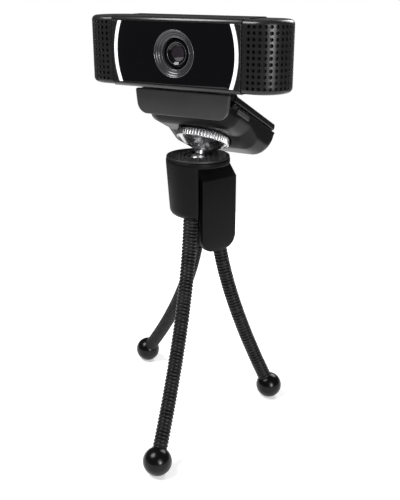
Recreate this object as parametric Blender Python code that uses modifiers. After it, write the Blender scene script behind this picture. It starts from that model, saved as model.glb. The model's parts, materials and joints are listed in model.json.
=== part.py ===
"""A webcam clipped on a small tripod with three gooseneck legs.

Sizes are in millimetres and become metres where a mesh is made.
Row frame: +Z up, the webcam looks along -Y, the floor is z = 0.
"""
import math

import bmesh
import bpy
from mathutils import Matrix, Vector

MM = 0.001
GAP = 0.3                 # clearance between pieces that touch on the real object
RUN = 0.3                 # radial clearance of a pin or shaft in its hole

# Tripod head, a round disc that carries one fixed lobe and two swinging holders
HEAD_TOP = 127.5
HEAD_R = 14.5
PAD_T = 1.0
DISC_T = 2.2
LOBE_BOTTOM = HEAD_TOP - 27.7
LOBE_BOTTOM_R = 12.8
LOBE_SIDE = 0.2           # the lobe's flat side, from the axis towards the right holder
LOBE_BACK = -1.4          # the lobe's flat back, measured along the rear holder's outward line
LEG_TO_RIM = 0.7          # wall between the front leg's hole and the lobe's outside

# Leg holders
FACE_TILT_DROP = 5.5      # height of the sloped top
FACE_SLOPE_OUT = 4.9      # how far the slope leans out
PLATE_T = 2.5
HOLDER_BOTTOM = HEAD_TOP - 44.5
CORNER_R = 6.5            # at most half the plate's width
BOSS_WALL = 1.0
BOSS_TOP = HEAD_TOP - 12.5
PIVOT_IN = 5.6            # the hinge line, inward from the outer face
PIVOT_DROP = 3.6          # the hinge line, down from the top of the holder
PIN_R = 0.9
KNUCKLE_R = 2.5

# Gooseneck legs and feet
LEG_R = 3.3
BOSS_R = LEG_R + GAP + BOSS_WALL
LEG_IN = 6.0              # how far a leg goes up into its holder
FOOT_R = 6.35
FOOT_FLAT = 0.3           # worn flat under each ball
LEG_STEPS = 9

# Ball joint and thumb wheel, about the tilted stud axis
TILT = math.radians(25.0)
BALL_R = 4.0
BALL_DROP = 3.2
BALL_WALL_GAP = 0.3
CORE_WALL = 0.9           # the socket's wall and floor, under the disc
CORE_FLOOR = 1.6
CORE_R = BALL_R + BALL_WALL_GAP + CORE_WALL
CORE_BOTTOM = HEAD_TOP - BALL_DROP - BALL_R - BALL_WALL_GAP - CORE_FLOOR
COLLAR_RING = 1.7
COLLAR_R = BALL_R + BALL_WALL_GAP + COLLAR_RING
COLLAR_T = 1.4
COLLAR_SINK = 0.6         # the collar's top, below the pad's
PAD_HOLE_R = COLLAR_R + 0.4
NECK_R = 2.2
SCREW_R = 3.0
SCREW_TOP = 20.0
WHEEL_R = 12.2
WHEEL_RIM = 3.6
WHEEL_FOOT = BALL_R + 1.0
WHEEL_TOP = WHEEL_FOOT + 7.9
WHEEL_FOOT_R = 3.8

# Clip, along b (backwards and down) and n (up the stud)
CLIP_HALF = 22.5
CLIP_FRONT = -19.8
CLIP_BACK = 25.8
LEG_BASE_HALF = 15.5
LEG_SIDE_R = 7.0
LEG_REAR_R = 6.5
LEG_REAR_DROP = 3.0       # how far the rear of the leg hangs below the wheel's top
WHEEL_ROOM = 0.7          # round the wheel, in the leg's recess
LEG_TOP = 22.9
CLIP_SLOT = 0.4
ARM_T = 3.0
INSERT_R = 5.0
FLAP_HALF = 23.2
FLAP_T = 2.0
FLAP_FRONT = -14.5
FLAP_TOP = HEAD_TOP + 29.8
FLAP_BOTTOM = FLAP_TOP - 10.8
FLAP_CORNER = 4.5
LUG_X = 9.0
LUG_W = 6.0
LUG_R = 2.0

# Webcam body, a stadium in plan
BODY_W = 94.0
BODY_H = 29.0
BODY_D = 24.0
BODY_Y = -8.0
CASE_GAP = 1.2            # from the flap's top to the case
BODY_Z = FLAP_TOP + CASE_GAP + BODY_H / 2
BODY_WALL = 1.6
BODY_ROUND = 2.0
GRILLE_X = 30.9
GRILLE_STEP = 0.35        # how far the grilles stand back from the frame, all round
SEAM_Y = -4.0
WINDOW_HALF = 25.6
RAIL_H = 2.0              # the frame above and below the glass
WINDOW_H = BODY_H - 2 * RAIL_H
WINDOW_T = 1.1
ARC_R = 34.0
GUIDE_W = 1.5
LENS_R = 9.2
BARREL_R = 5.6
CAMERA_PIN_Y = -9.5
CAMERA_PIN_Z = FLAP_TOP - 1.3
CAMERA_PIN_HALF = 16.5
CAMERA_LUG_X = 8.0
CAMERA_LUG_W = 6.0
CAMERA_LUG_R = 2.2
MIC_X = 35.4
MIC_R = 2.4
GLAND_Z = -6.0
GLAND_R = 2.6


def outward(azimuth):
    a = math.radians(azimuth)
    return Vector((math.cos(a), math.sin(a), 0.0))


# Each holder: where its face looks, the face's distance and ends, the leg's place along it and the wall in front of
# the leg's hole, the hinge's ends
RIGHT_LEG = 2 * BOSS_R + 0.5          # clear of the rear holder's plate
HOLDERS = {
    "right": {"azimuth": -20.0, "face": 9.1, "ends": (-4.7, RIGHT_LEG + BOSS_R + 1.2), "leg": RIGHT_LEG, "wall": 1.4,
              "hinge": (6.9, 14.2)},
    "rear": {"azimuth": 100.0, "face": 10.5, "ends": (-3.0, 8.9), "leg": 3.0, "wall": 0.9, "hinge": (CORE_R - 0.25, 8.9)},
}
FRONT_LEG = Vector((1.0, -(LOBE_BOTTOM_R - LEG_R - GAP - LEG_TO_RIM)))
# Ball centres and the point that bends each leg's curve, from the head's axis
FEET = {
    "front": {"ball": (14.2, -59.6), "knee": (2.5, -14.0, 56.0)},
    "right": {"ball": (28.1, 23.6), "knee": (11.5, 10.5, 52.0)},
    "rear": {"ball": (-47.4, 25.4), "knee": (-12.0, 9.5, 50.0)},
}

# The head's axis, placed so that the outline's box is centred on the origin
LOW_X = FEET["rear"]["ball"][0] - FOOT_R
HIGH_X = BODY_W / 2
LOW_Y = FEET["front"]["ball"][1] - FOOT_R
PIN_B = CLIP_BACK - ARM_T / 2
PIN_N = LEG_TOP + CLIP_SLOT + ARM_T / 2
CLIP_REAR_Y = PIN_B * math.cos(TILT) + PIN_N * math.sin(TILT) + LUG_R
AXIS = Vector((-(LOW_X + HIGH_X) / 2, -(LOW_Y + CLIP_REAR_Y) / 2, 0.0))
BALL_Z = HEAD_TOP - BALL_DROP

COLLECTION = bpy.data.collections.new("webcam on tripod")
TOOLS = bpy.data.collections.new("cutters")
SCENE = bpy.context.scene


def start():
    for old in list(bpy.data.objects):
        bpy.data.objects.remove(old, do_unlink=True)
    SCENE.collection.children.link(COLLECTION)
    SCENE.collection.children.link(TOOLS)


def material(name, colour, roughness, metallic=0.0):
    found = bpy.data.materials.get(name)
    if found:
        return found
    made = bpy.data.materials.new(name)
    made.use_nodes = True
    shader = made.node_tree.nodes["Principled BSDF"]
    shader.inputs["Base Color"].default_value = (*colour, 1.0)
    shader.inputs["Roughness"].default_value = roughness
    shader.inputs["Metallic"].default_value = metallic
    return made


FINISHES = {
    "rubber": ((0.02, 0.02, 0.022), 0.45, 0.0),
    "satin_plastic": ((0.035, 0.036, 0.04), 0.4, 0.0),
    "grey_plastic": ((0.09, 0.09, 0.095), 0.45, 0.0),
    "gloss_black": ((0.006, 0.006, 0.008), 0.06, 0.0),
    "bright_metal": ((0.75, 0.75, 0.76), 0.2, 1.0),
    "white_guide": ((0.85, 0.86, 0.87), 0.3, 0.0),
    "lens_glass": ((0.03, 0.02, 0.05), 0.02, 0.0),
    "board_green": ((0.02, 0.16, 0.07), 0.5, 0.0),
}


def empty(name, place, turn=None, parent=None):
    made = bpy.data.objects.new(name, None)
    made.empty_display_size = 5 * MM
    COLLECTION.objects.link(made)
    made.parent = parent
    made.location = Vector(place) * MM
    if turn is not None:
        made.rotation_euler = turn
    return made


def put(name, mesh, frame, finish=None, place=(0, 0, 0)):
    made = bpy.data.objects.new(name, mesh)
    made.parent = frame
    made.location = Vector(place) * MM
    if finish:
        mesh.materials.append(material(finish, *FINISHES[finish]))
        COLLECTION.objects.link(made)
    else:
        TOOLS.objects.link(made)
        made.hide_render = True
        made.display_type = "WIRE"
    return made


def to_mesh(name, bm, smooth=True):
    bmesh.ops.scale(bm, vec=(MM, MM, MM), verts=bm.verts)
    bmesh.ops.recalc_face_normals(bm, faces=bm.faces)
    mesh = bpy.data.meshes.new(name)
    bm.to_mesh(mesh)
    bm.free()
    if smooth:
        mesh.shade_smooth()
        mesh.set_sharp_from_angle(angle=math.radians(35))
    return mesh


def box(name, low, high, frame, finish=None, round_by=0.0):
    """A box between two corners."""
    bm = bmesh.new()
    bmesh.ops.create_cube(bm, size=1.0)
    low, high = Vector(low), Vector(high)
    bmesh.ops.scale(bm, vec=high - low, verts=bm.verts)
    bmesh.ops.translate(bm, vec=(low + high) / 2, verts=bm.verts)
    made = put(name, to_mesh(name, bm), frame, finish)
    if round_by:
        bevel(made, round_by)
    return made


def rod(name, start_at, end_at, radius, frame, finish=None, end_radius=None, sides=24):
    """A cylinder or cone from one point to another."""
    a, b = Vector(start_at), Vector(end_at)
    bm = bmesh.new()
    bmesh.ops.create_cone(bm, cap_ends=True, segments=sides, radius1=radius,
                          radius2=radius if end_radius is None else end_radius, depth=(b - a).length)
    turn = (b - a).to_track_quat("Z", "Y").to_matrix().to_4x4()
    bmesh.ops.transform(bm, matrix=Matrix.Translation((a + b) / 2) @ turn, verts=bm.verts)
    return put(name, to_mesh(name, bm), frame, finish)


def prism(name, outline, low, high, plane, frame, finish=None):
    """A flat outline pushed from low to high, across the named plane."""
    bm = bmesh.new()
    ends = []
    for level in (low, high):
        if plane == "XY":
            points = [(p, q, level) for p, q in outline]
        elif plane == "XZ":
            points = [(p, level, q) for p, q in outline]
        else:
            points = [(level, p, q) for p, q in outline]
        ends.append([bm.verts.new(p) for p in points])
    bm.faces.new(ends[0])
    bm.faces.new(ends[1][::-1])
    count = len(outline)
    for i in range(count):
        j = (i + 1) % count
        bm.faces.new((ends[0][i], ends[1][i], ends[1][j], ends[0][j]))
    return put(name, to_mesh(name, bm), frame, finish)


def turned(name, profile, frame, finish=None, steps=40, place=(0, 0, 0)):
    """A closed profile of (radius, height) points spun about Z; radius 0 ends close it on the axis."""
    bm = bmesh.new()
    verts = [bm.verts.new((r, 0, z)) for r, z in profile]
    pairs = list(zip(verts, verts[1:]))
    if profile[0][0] > 0:
        pairs.append((verts[-1], verts[0]))
    edges = [bm.edges.new(pair) for pair in pairs]
    bmesh.ops.spin(bm, geom=verts + edges, axis=(0, 0, 1), cent=(0, 0, 0), steps=steps, angle=2 * math.pi)
    bmesh.ops.remove_doubles(bm, verts=bm.verts, dist=0.0005)
    return put(name, to_mesh(name, bm), frame, finish, place)


def arc(centre, radius, first, last, steps):
    """Points along an arc, angles in degrees."""
    turn = [math.radians(first + (last - first) * i / steps) for i in range(steps + 1)]
    return [(centre[0] + radius * math.cos(t), centre[1] + radius * math.sin(t)) for t in turn]


def rounded(half_x, half_z, radius, centre=(0, 0), steps=5):
    """The outline of a rectangle with round corners."""
    x, z = half_x - radius, half_z - radius
    points = []
    for sx, sz, first in ((1, 1, 0), (-1, 1, 90), (-1, -1, 180), (1, -1, 270)):
        points += arc((centre[0] + sx * x, centre[1] + sz * z), radius, first, first + 90, steps)
    return points


def boolean(target, cutter, how="DIFFERENCE"):
    step = target.modifiers.new(how.lower() + " " + cutter.name, "BOOLEAN")
    step.operation = how
    step.solver = "EXACT"
    step.object = cutter
    return target


def bevel(target, width, segments=2):
    step = target.modifiers.new("round edges", "BEVEL")
    step.width = width * MM
    step.segments = segments
    step.limit_method = "ANGLE"
    step.angle_limit = math.radians(40)
    step.harden_normals = False
    return target


def tube(name, points, radii, frame, finish):
    """A curve with a round section whose radius varies, made a closed mesh."""
    curve = bpy.data.curves.new(name, "CURVE")
    curve.dimensions = "3D"
    curve.bevel_depth = MM
    curve.bevel_resolution = 3
    curve.use_fill_caps = True
    spline = curve.splines.new("POLY")
    spline.points.add(len(points) - 1)
    for knot, place, radius in zip(spline.points, points, radii):
        knot.co = (*(Vector(place) * MM), 1.0)
        knot.radius = radius
    guide = bpy.data.objects.new(name + " guide", curve)
    SCENE.collection.objects.link(guide)
    bpy.context.view_layer.update()
    mesh = bpy.data.meshes.new_from_object(guide.evaluated_get(bpy.context.evaluated_depsgraph_get()))
    bpy.data.objects.remove(guide, do_unlink=True)
    bm = bmesh.new()
    bm.from_mesh(mesh)
    bmesh.ops.remove_doubles(bm, verts=bm.verts, dist=1e-6)
    bmesh.ops.scale(bm, vec=(1 / MM,) * 3, verts=bm.verts)
    mesh.materials.clear()
    return put(name, to_mesh(name, bm), frame, finish)


def head_pieces(head):
    disc_top = HEAD_TOP - PAD_T - GAP
    disc_low = disc_top - DISC_T
    body = turned("head_body", [(0, disc_low), (HEAD_R, disc_low), (HEAD_R, disc_top), (0, disc_top)][::-1],
                  head, "satin_plastic", 56)
    lobe = turned("lobe", [(0, LOBE_BOTTOM), (LOBE_BOTTOM_R - 2.5, LOBE_BOTTOM), (LOBE_BOTTOM_R, LOBE_BOTTOM + 2.5),
                           (HEAD_R - 0.05, disc_low + 0.9), (0, disc_low + 0.9)][::-1], head, None, 56)
    right, up = outward(30.0), 60.0
    wide = 3 * HEAD_R
    for name, line, reach in (("lobe_side", right, LOBE_SIDE), ("lobe_back", outward(100.0), LOBE_BACK)):
        turn = math.atan2(line.y, line.x)
        cutter = box(name, (reach, -wide, up), (reach + wide, wide, HEAD_TOP + 5), head)
        cutter.rotation_euler = (0, 0, turn)
        boolean(lobe, cutter)
    boolean(body, lobe, "UNION")
    core = rod("core", (0, 0, CORE_BOTTOM), (0, 0, disc_low + 0.5), CORE_R, head, sides=40)
    boolean(body, core, "UNION")
    for side, holder in HOLDERS.items():
        boolean(body, ear(side, holder, head, disc_low), "UNION")
    socket = turned("socket", ball_profile(BALL_R + BALL_WALL_GAP), head, None, 32, (0, 0, BALL_Z))
    boolean(body, socket)
    seat = rod("collar_seat", (0, 0, HEAD_TOP - COLLAR_SINK - COLLAR_T - GAP), (0, 0, HEAD_TOP + 1), COLLAR_R + GAP, head, sides=40)
    boolean(body, seat)
    leg_hole = rod("front_leg_hole", (*FRONT_LEG, LOBE_BOTTOM - 1), (*FRONT_LEG, LOBE_BOTTOM + LEG_IN + GAP),
                   LEG_R + GAP, head)
    boolean(body, leg_hole)
    for side, holder in HOLDERS.items():
        boolean(body, pin(side + "_pin_hole", holder, head, PIN_R + RUN, None, 0.5))

    turned("top_pad", [(PAD_HOLE_R, HEAD_TOP - PAD_T), (HEAD_R - 0.2, HEAD_TOP - PAD_T), (HEAD_R - 0.2, HEAD_TOP - 0.3),
                       (HEAD_R - 0.5, HEAD_TOP), (PAD_HOLE_R, HEAD_TOP)][::-1], head, "rubber", 56)


def ball_profile(radius, steps=14):
    """Half a circle, bottom to top, for a ball turned about Z."""
    turn = [math.pi * i / steps for i in range(steps + 1)]
    return [(radius * math.sin(t) if 0 < i < steps else 0.0, radius * math.cos(t)) for i, t in enumerate(turn)]


def holder_frame(holder):
    """Outward line, line along the face and hinge height of one holder."""
    out = outward(holder["azimuth"])
    along = outward(holder["azimuth"] + 90.0)
    return out, along


def holder_top():
    return HEAD_TOP - PAD_T - GAP - DISC_T - GAP


def hinge_point(holder, along_by=0.0):
    out, along = holder_frame(holder)
    return out * (holder["face"] - PIVOT_IN) + along * along_by + Vector((0, 0, holder_top() - PIVOT_DROP))


def ear_ends(holder):
    low, high = holder["hinge"]
    cheek = 0.28 * (high - low)
    return low + cheek + GAP, high - cheek - GAP


def ear(side, holder, frame, disc_low):
    """The tab under the disc that a holder's pin goes through."""
    out, along = holder_frame(holder)
    first, last = ear_ends(holder)
    centre = holder["face"] - PIVOT_IN
    low = holder_top() - PIVOT_DROP
    outline = [(centre + KNUCKLE_R - 0.3, disc_low + 0.7), (centre - KNUCKLE_R + 0.3, disc_low + 0.7)]
    outline += arc((centre, low), KNUCKLE_R - 0.3, 180, 360, 8)
    made = prism(side + "_ear", outline, first, last, "XZ", frame)
    made.rotation_euler = (0, 0, math.radians(holder["azimuth"]))
    return made


def pin(name, holder, frame, radius, finish, longer=0.0):
    low, high = holder["hinge"]
    return rod(name, hinge_point(holder, low - longer), hinge_point(holder, high + longer), radius, frame, finish, sides=16)


def holder_piece(side, holder, head):
    """A flat plate with a sloped top, a round boss behind it for the leg, and a forked knuckle."""
    turn = (0, 0, math.radians(holder["azimuth"]))
    first, last = holder["ends"]
    face, top = holder["face"], holder_top()
    name = "holder_" + side
    corner = min(CORNER_R, (last - first) / 2 - 0.5)
    outline = arc((last - corner, HOLDER_BOTTOM + corner), corner, 270, 360, 6)
    outline += [(last, top), (first, top)]
    outline += arc((first + corner, HOLDER_BOTTOM + corner), corner, 180, 270, 6)
    plate = prism(name, outline, face - PLATE_T, face, "YZ", head, "satin_plastic")
    plate.rotation_euler = turn
    boss_at = Vector((leg_distance(holder), holder["leg"], 0))
    boss = rod(side + "_boss", boss_at + Vector((0, 0, HOLDER_BOTTOM + 1.5)), boss_at + Vector((0, 0, BOSS_TOP)),
               BOSS_R, head, sides=28)
    low, high = holder["hinge"]
    pivot = (face - PIVOT_IN, top - PIVOT_DROP)
    reach = face - PLATE_T / 2
    shape = arc(pivot, KNUCKLE_R, 90, 270, 8)
    shape += [(reach, pivot[1] - KNUCKLE_R), (reach, pivot[1] + KNUCKLE_R)]
    knuckle = prism(side + "_knuckle", shape, low, high, "XZ", head)
    bridge = box(side + "_bridge", (boss_at.x, boss_at.y - BOSS_R * 0.8, BOSS_TOP - 8.0),
                 (reach, boss_at.y + BOSS_R * 0.8, BOSS_TOP), head)
    for extra in (boss, knuckle, bridge):
        extra.rotation_euler = turn
        boolean(plate, extra, "UNION")
    ear_low, ear_high = ear_ends(holder)
    slot = box(side + "_slot", (pivot[0] - KNUCKLE_R - 1, ear_low - GAP, pivot[1] - KNUCKLE_R - 1),
               (face - PLATE_T, ear_high + GAP, top + 1), head)
    slot.rotation_euler = turn
    boolean(plate, slot)
    slope = prism(side + "_slope", [(face - FACE_SLOPE_OUT, top), (face + 0.01, top - FACE_TILT_DROP),
                                    (face + 9, top - FACE_TILT_DROP), (face + 9, top + 5),
                                    (face - FACE_SLOPE_OUT, top + 5)], first - 3, last + 3, "XZ", head)
    slope.rotation_euler = turn
    boolean(plate, slope)
    boolean(plate, pin(side + "_holder_bore", holder, head, PIN_R + RUN, None, 0.5))
    place = holder_leg_point(holder)
    boolean(plate, rod(side + "_leg_hole", place - Vector((0, 0, 3)), place + Vector((0, 0, LEG_IN + GAP)),
                       LEG_R + GAP, head))


def leg_distance(holder):
    """How far out the leg's hole is, from the wall in front of it."""
    return holder["face"] - holder["wall"] - LEG_R - GAP


def holder_leg_point(holder):
    out, along = holder_frame(holder)
    return out * leg_distance(holder) + along * holder["leg"] + Vector((0, 0, HOLDER_BOTTOM))


def leg_curve(exit_at, knee, ball):
    """A quadratic curve from the exit, pulled towards the knee, to the ball's centre."""
    def place(t):
        return exit_at * (1 - t) ** 2 + knee * (2 * t * (1 - t)) + ball * t * t
    return place


def step_back(place, t, distance):
    """The curve parameter a given straight distance before t."""
    back = t
    while (place(back) - place(t)).length < distance:
        back -= 0.0005
    return back


def leg_pieces(side, exit_at, head):
    """Three stretches of one gooseneck; each lower one starts with a round end on its bend line."""
    ball = Vector((*FEET[side]["ball"], FOOT_R - FOOT_FLAT))
    place = leg_curve(exit_at, Vector(FEET[side]["knee"]), ball)
    ends = (0.0, 0.30, 0.66, 1.0)
    names = (side + "_leg_upper", side + "_leg_middle", side + "_leg_lower")
    for name, first, last in zip(names, ends, ends[1:]):
        points, radii = [], []
        if first == 0.0:
            points.append(exit_at + Vector((0, 0, LEG_IN)))
            radii.append(LEG_R)
            points.append(exit_at + Vector((0, 0, 0.5)))
            radii.append(LEG_R)
        else:
            line = (place(first + 0.01) - place(first)).normalized()
            for step in range(5):
                turn = math.pi / 2 * (step + 0.35) / 5.35
                points.append(place(first) - line * LEG_R * math.cos(turn))
                radii.append(LEG_R * math.sin(turn))
        stop = step_back(place, last, LEG_R + 2 * GAP if last < 1.0 else FOOT_R + GAP)
        for step in range(LEG_STEPS + 1):
            t = first + (stop - first) * step / LEG_STEPS
            if first == 0.0 and step == 0:
                continue
            points.append(place(t))
            radii.append(LEG_R)
        tube(name, points, radii, head, "rubber")
    foot = turned("foot_" + side, foot_profile(), head, "rubber", 28, ball)
    return foot


def foot_profile(steps=14):
    """A ball with a small flat underneath."""
    low = math.acos((FOOT_R - FOOT_FLAT) / FOOT_R)
    turn = [math.pi - low - (math.pi - low) * i / steps for i in range(steps + 1)]
    points = [(FOOT_R * math.sin(t), FOOT_R * math.cos(t)) for t in turn]
    points[-1] = (0.0, FOOT_R)
    return [(0.0, -(FOOT_R - FOOT_FLAT))] + points


def stud_pieces(head, stud):
    collar_top = HEAD_TOP - COLLAR_SINK
    turned("ball_collar", [(BALL_R + BALL_WALL_GAP, collar_top - COLLAR_T), (COLLAR_R, collar_top - COLLAR_T),
                           (COLLAR_R, collar_top), (BALL_R + BALL_WALL_GAP, collar_top)][::-1], head, "bright_metal", 40)
    ball = turned("ball_stud", ball_profile(BALL_R), stud, "bright_metal", 32)
    boolean(ball, rod("neck", (0, 0, BALL_R - 1.5), (0, 0, WHEEL_FOOT + 2), NECK_R, stud), "UNION")
    boolean(ball, rod("screw", (0, 0, WHEEL_FOOT + 1.5), (0, 0, SCREW_TOP), SCREW_R, stud), "UNION")
    bore = SCREW_R + RUN
    low = WHEEL_TOP - WHEEL_RIM
    wheel = turned("thumb_wheel", [(bore, WHEEL_FOOT), (WHEEL_FOOT_R, WHEEL_FOOT), (WHEEL_FOOT_R + 0.4, WHEEL_FOOT + 0.7),
                                   (WHEEL_R - 1.0, low), (WHEEL_R, low + 0.3), (WHEEL_R, WHEEL_TOP - 0.3),
                                   (WHEEL_R - 0.3, WHEEL_TOP), (bore, WHEEL_TOP)][::-1], stud, "bright_metal", 60)
    return ball, wheel


def clip_leg_pieces(stud):
    """The lower half of the clip: a bowl-shaped block with a flat top, a pocket and the thread insert. Its rear hangs
    lower than its front, with a round recess for the wheel."""
    base = WHEEL_TOP + GAP
    low = WHEEL_TOP - LEG_REAR_DROP
    side = arc((LEG_BASE_HALF, low + LEG_SIDE_R), LEG_SIDE_R, 270, 360, 6)
    across = [(x, n) for x, n in side] + [(CLIP_HALF, LEG_TOP), (-CLIP_HALF, LEG_TOP)]
    across += [(-x, n) for x, n in side[::-1]]
    block = prism("clip_leg", across, CLIP_FRONT, CLIP_BACK, "XZ", stud, "satin_plastic")
    rear = arc((CLIP_BACK - LEG_REAR_R, low + LEG_REAR_R), LEG_REAR_R, 270, 350, 6)
    along = [(CLIP_FRONT - 1, base + 4.5), (CLIP_FRONT + 6.0, base), (0.0, base), (WHEEL_R * 0.8, low - 0.01)] + rear
    along += [(CLIP_BACK + 0.01, LEG_TOP + 0.01), (CLIP_FRONT - 1, LEG_TOP + 0.01)]
    boolean(block, prism("leg_side_shape", along, -CLIP_HALF - 2, CLIP_HALF + 2, "YZ", stud), "INTERSECT")
    pin_at = clip_pin()
    for sign in (-1, 1):
        low, high = sorted((sign * LUG_X, sign * (LUG_X + LUG_W)))
        outline = arc(pin_at, LUG_R, 0, 180, 8)
        outline += [(pin_at[0] - LUG_R, LEG_TOP - 2), (pin_at[0] + LUG_R - 0.6, LEG_TOP - 2)]
        boolean(block, prism("lug", outline, low, high, "YZ", stud), "UNION")
    boolean(block, box("front_pocket", (-CLIP_HALF + 3.0, CLIP_FRONT - 2, base + 1.5),
                       (CLIP_HALF - 3.0, -INSERT_R - 3.5, LEG_TOP - 2.5), stud))
    boolean(block, rod("wheel_recess", (0, 0, low - 2), (0, 0, base), WHEEL_R + WHEEL_ROOM, stud, sides=48))
    boolean(block, rod("insert_seat", (0, 0, base - 1), (0, 0, SCREW_TOP + 1.0), INSERT_R + GAP, stud, sides=32))
    boolean(block, box("pad_seat", (-CLIP_HALF + 3.5, CLIP_FRONT + 2, LEG_TOP - 0.8),
                       (CLIP_HALF - 3.5, CLIP_BACK - 9.0, LEG_TOP + 1), stud))
    boolean(block, rod("leg_pin_bore", (-CLIP_HALF, *pin_at), (CLIP_HALF, *pin_at), PIN_R + RUN, stud, sides=16))
    turned("thread_insert", [(SCREW_R + RUN, base), (INSERT_R, base), (INSERT_R, SCREW_TOP + 0.5),
                             (SCREW_R + RUN, SCREW_TOP + 0.5)][::-1], stud, "bright_metal", 32)
    box("leg_pad", (-CLIP_HALF + 3.8, CLIP_FRONT + 2.3, LEG_TOP - 0.5), (CLIP_HALF - 3.8, CLIP_BACK - 9.3, LEG_TOP),
        stud, "rubber")
    rod("clip_hinge_pin", (-CLIP_HALF + 2, *pin_at), (CLIP_HALF - 2, *pin_at), PIN_R, stud, "bright_metal", sides=16)


def clip_pin():
    return (PIN_B, PIN_N)


def under_arm(y):
    """Height of the sloped arm's underside above a place y behind the head's axis."""
    return BALL_Z + (LEG_TOP + CLIP_SLOT + 0.02 - y * math.sin(TILT)) / math.cos(TILT)


def clip_arm_pieces(head, stud):
    """The upper half: a sloped slab with a round rear end, and the upright front flap."""
    pin_at = clip_pin()
    low, high = LEG_TOP + CLIP_SLOT, LEG_TOP + CLIP_SLOT + ARM_T
    front_b = CLIP_FRONT + 0.3
    outline = [(front_b, low), ] + arc(pin_at, ARM_T / 2, 270, 450, 8) + [(front_b, high)]
    arm = prism("clip_arm", outline, -CLIP_HALF, CLIP_HALF, "YZ", stud, "satin_plastic")
    for sign in (-1, 1):
        first, last = sorted((sign * (LUG_X - GAP), sign * (LUG_X + LUG_W + GAP)))
        boolean(arm, box("notch", (first, pin_at[0] - LUG_R - 0.7, low - 1), (last, CLIP_BACK + 1, high + 1), stud))
    flap = prism("flap_plate", rounded(FLAP_HALF, (FLAP_TOP - FLAP_BOTTOM) / 2 + 1.0, FLAP_CORNER,
                                       (0, (FLAP_TOP + FLAP_BOTTOM) / 2 + 1.0)),
                 FLAP_FRONT, FLAP_FRONT + FLAP_T, "XZ", head)
    top_cut = box("flap_top_cut", (-40, -40, FLAP_TOP), (40, 40, FLAP_TOP + 12), head)
    joiner = prism("flap_joiner", [(FLAP_FRONT + 1, under_arm(FLAP_FRONT + 1)), (FLAP_FRONT + 1, FLAP_TOP + 1),
                                   (-6.5, FLAP_TOP + 1), (-3.2, FLAP_TOP - 3.9), (-4.6, under_arm(-4.6))],
                   -CLIP_HALF + 0.05, CLIP_HALF - 0.05, "YZ", head)
    boolean(arm, flap, "UNION")
    boolean(arm, joiner, "UNION")
    boolean(arm, top_cut)
    for sign in (-1, 1):
        first, last = sorted((sign * (CAMERA_LUG_X - GAP), sign * (CAMERA_LUG_X + CAMERA_LUG_W + GAP)))
        boolean(arm, box("camera_notch", (first, CAMERA_PIN_Y - 3.0, CAMERA_PIN_Z - 3.0),
                         (last, CAMERA_PIN_Y + 3.3, CAMERA_PIN_Z + 6), head))
    boolean(arm, rod("arm_pin_bore", (-CLIP_HALF - 1, *pin_at), (CLIP_HALF + 1, *pin_at), PIN_R + RUN, stud, sides=16))
    bore = CAMERA_PIN_HALF + 0.5
    boolean(arm, rod("camera_bore", (-bore, CAMERA_PIN_Y, CAMERA_PIN_Z), (bore, CAMERA_PIN_Y, CAMERA_PIN_Z), PIN_R + RUN,
                     head, sides=16))
    pad_back = FLAP_FRONT + FLAP_T
    box("flap_pad", (-FLAP_HALF + 5, pad_back + GAP, FLAP_BOTTOM + 1.5), (FLAP_HALF - 5, pad_back + GAP + 0.8, FLAP_BOTTOM + 6),
        head, "rubber")
    rod("camera_hinge_pin", (-CAMERA_PIN_HALF, CAMERA_PIN_Y, CAMERA_PIN_Z), (CAMERA_PIN_HALF, CAMERA_PIN_Y, CAMERA_PIN_Z),
        PIN_R, head, "bright_metal", sides=16)


def stadium(shrink, step=0.0, steps=14):
    """Plan outline of the webcam: a straight middle with two half-round ends, thinner front to back by the step."""
    radius = BODY_D / 2 - step - shrink
    x = BODY_W / 2 - BODY_D / 2 + step
    return arc((x, 0), radius, -90, 90, steps) + arc((-x, 0), radius, 90, 270, steps)


def case_slice(name, low, high, camera, finish, extra=(), step=0.0):
    """One piece of the webcam's hollow case: the stadium shell inside a box."""
    half = BODY_H / 2 - step
    piece = prism(name, stadium(0, step), -half, half, "XY", camera, finish)
    bevel(piece, BODY_ROUND, 3)
    hollow = prism(name + "_hollow", stadium(BODY_WALL, step), -half + BODY_WALL, half - BODY_WALL, "XY", camera)
    bevel(hollow, BODY_ROUND - BODY_WALL, 2)
    boolean(piece, hollow)
    boolean(piece, box(name + "_region", low, high, camera), "INTERSECT")
    for cutter in extra:
        boolean(piece, cutter)
    return piece


def window_outline(grow):
    """The window's edge: straight top and bottom, ends bulging on a large arc."""
    half_h = WINDOW_H / 2 + grow
    radius = ARC_R + grow
    centre = WINDOW_HALF - math.sqrt(ARC_R ** 2 - (WINDOW_H / 2) ** 2)
    swing = math.degrees(math.asin(half_h / radius))
    return arc((centre, 0), radius, -swing, swing, 10) + arc((-centre, 0), radius, 180 - swing, 180 + swing, 10)


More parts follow.
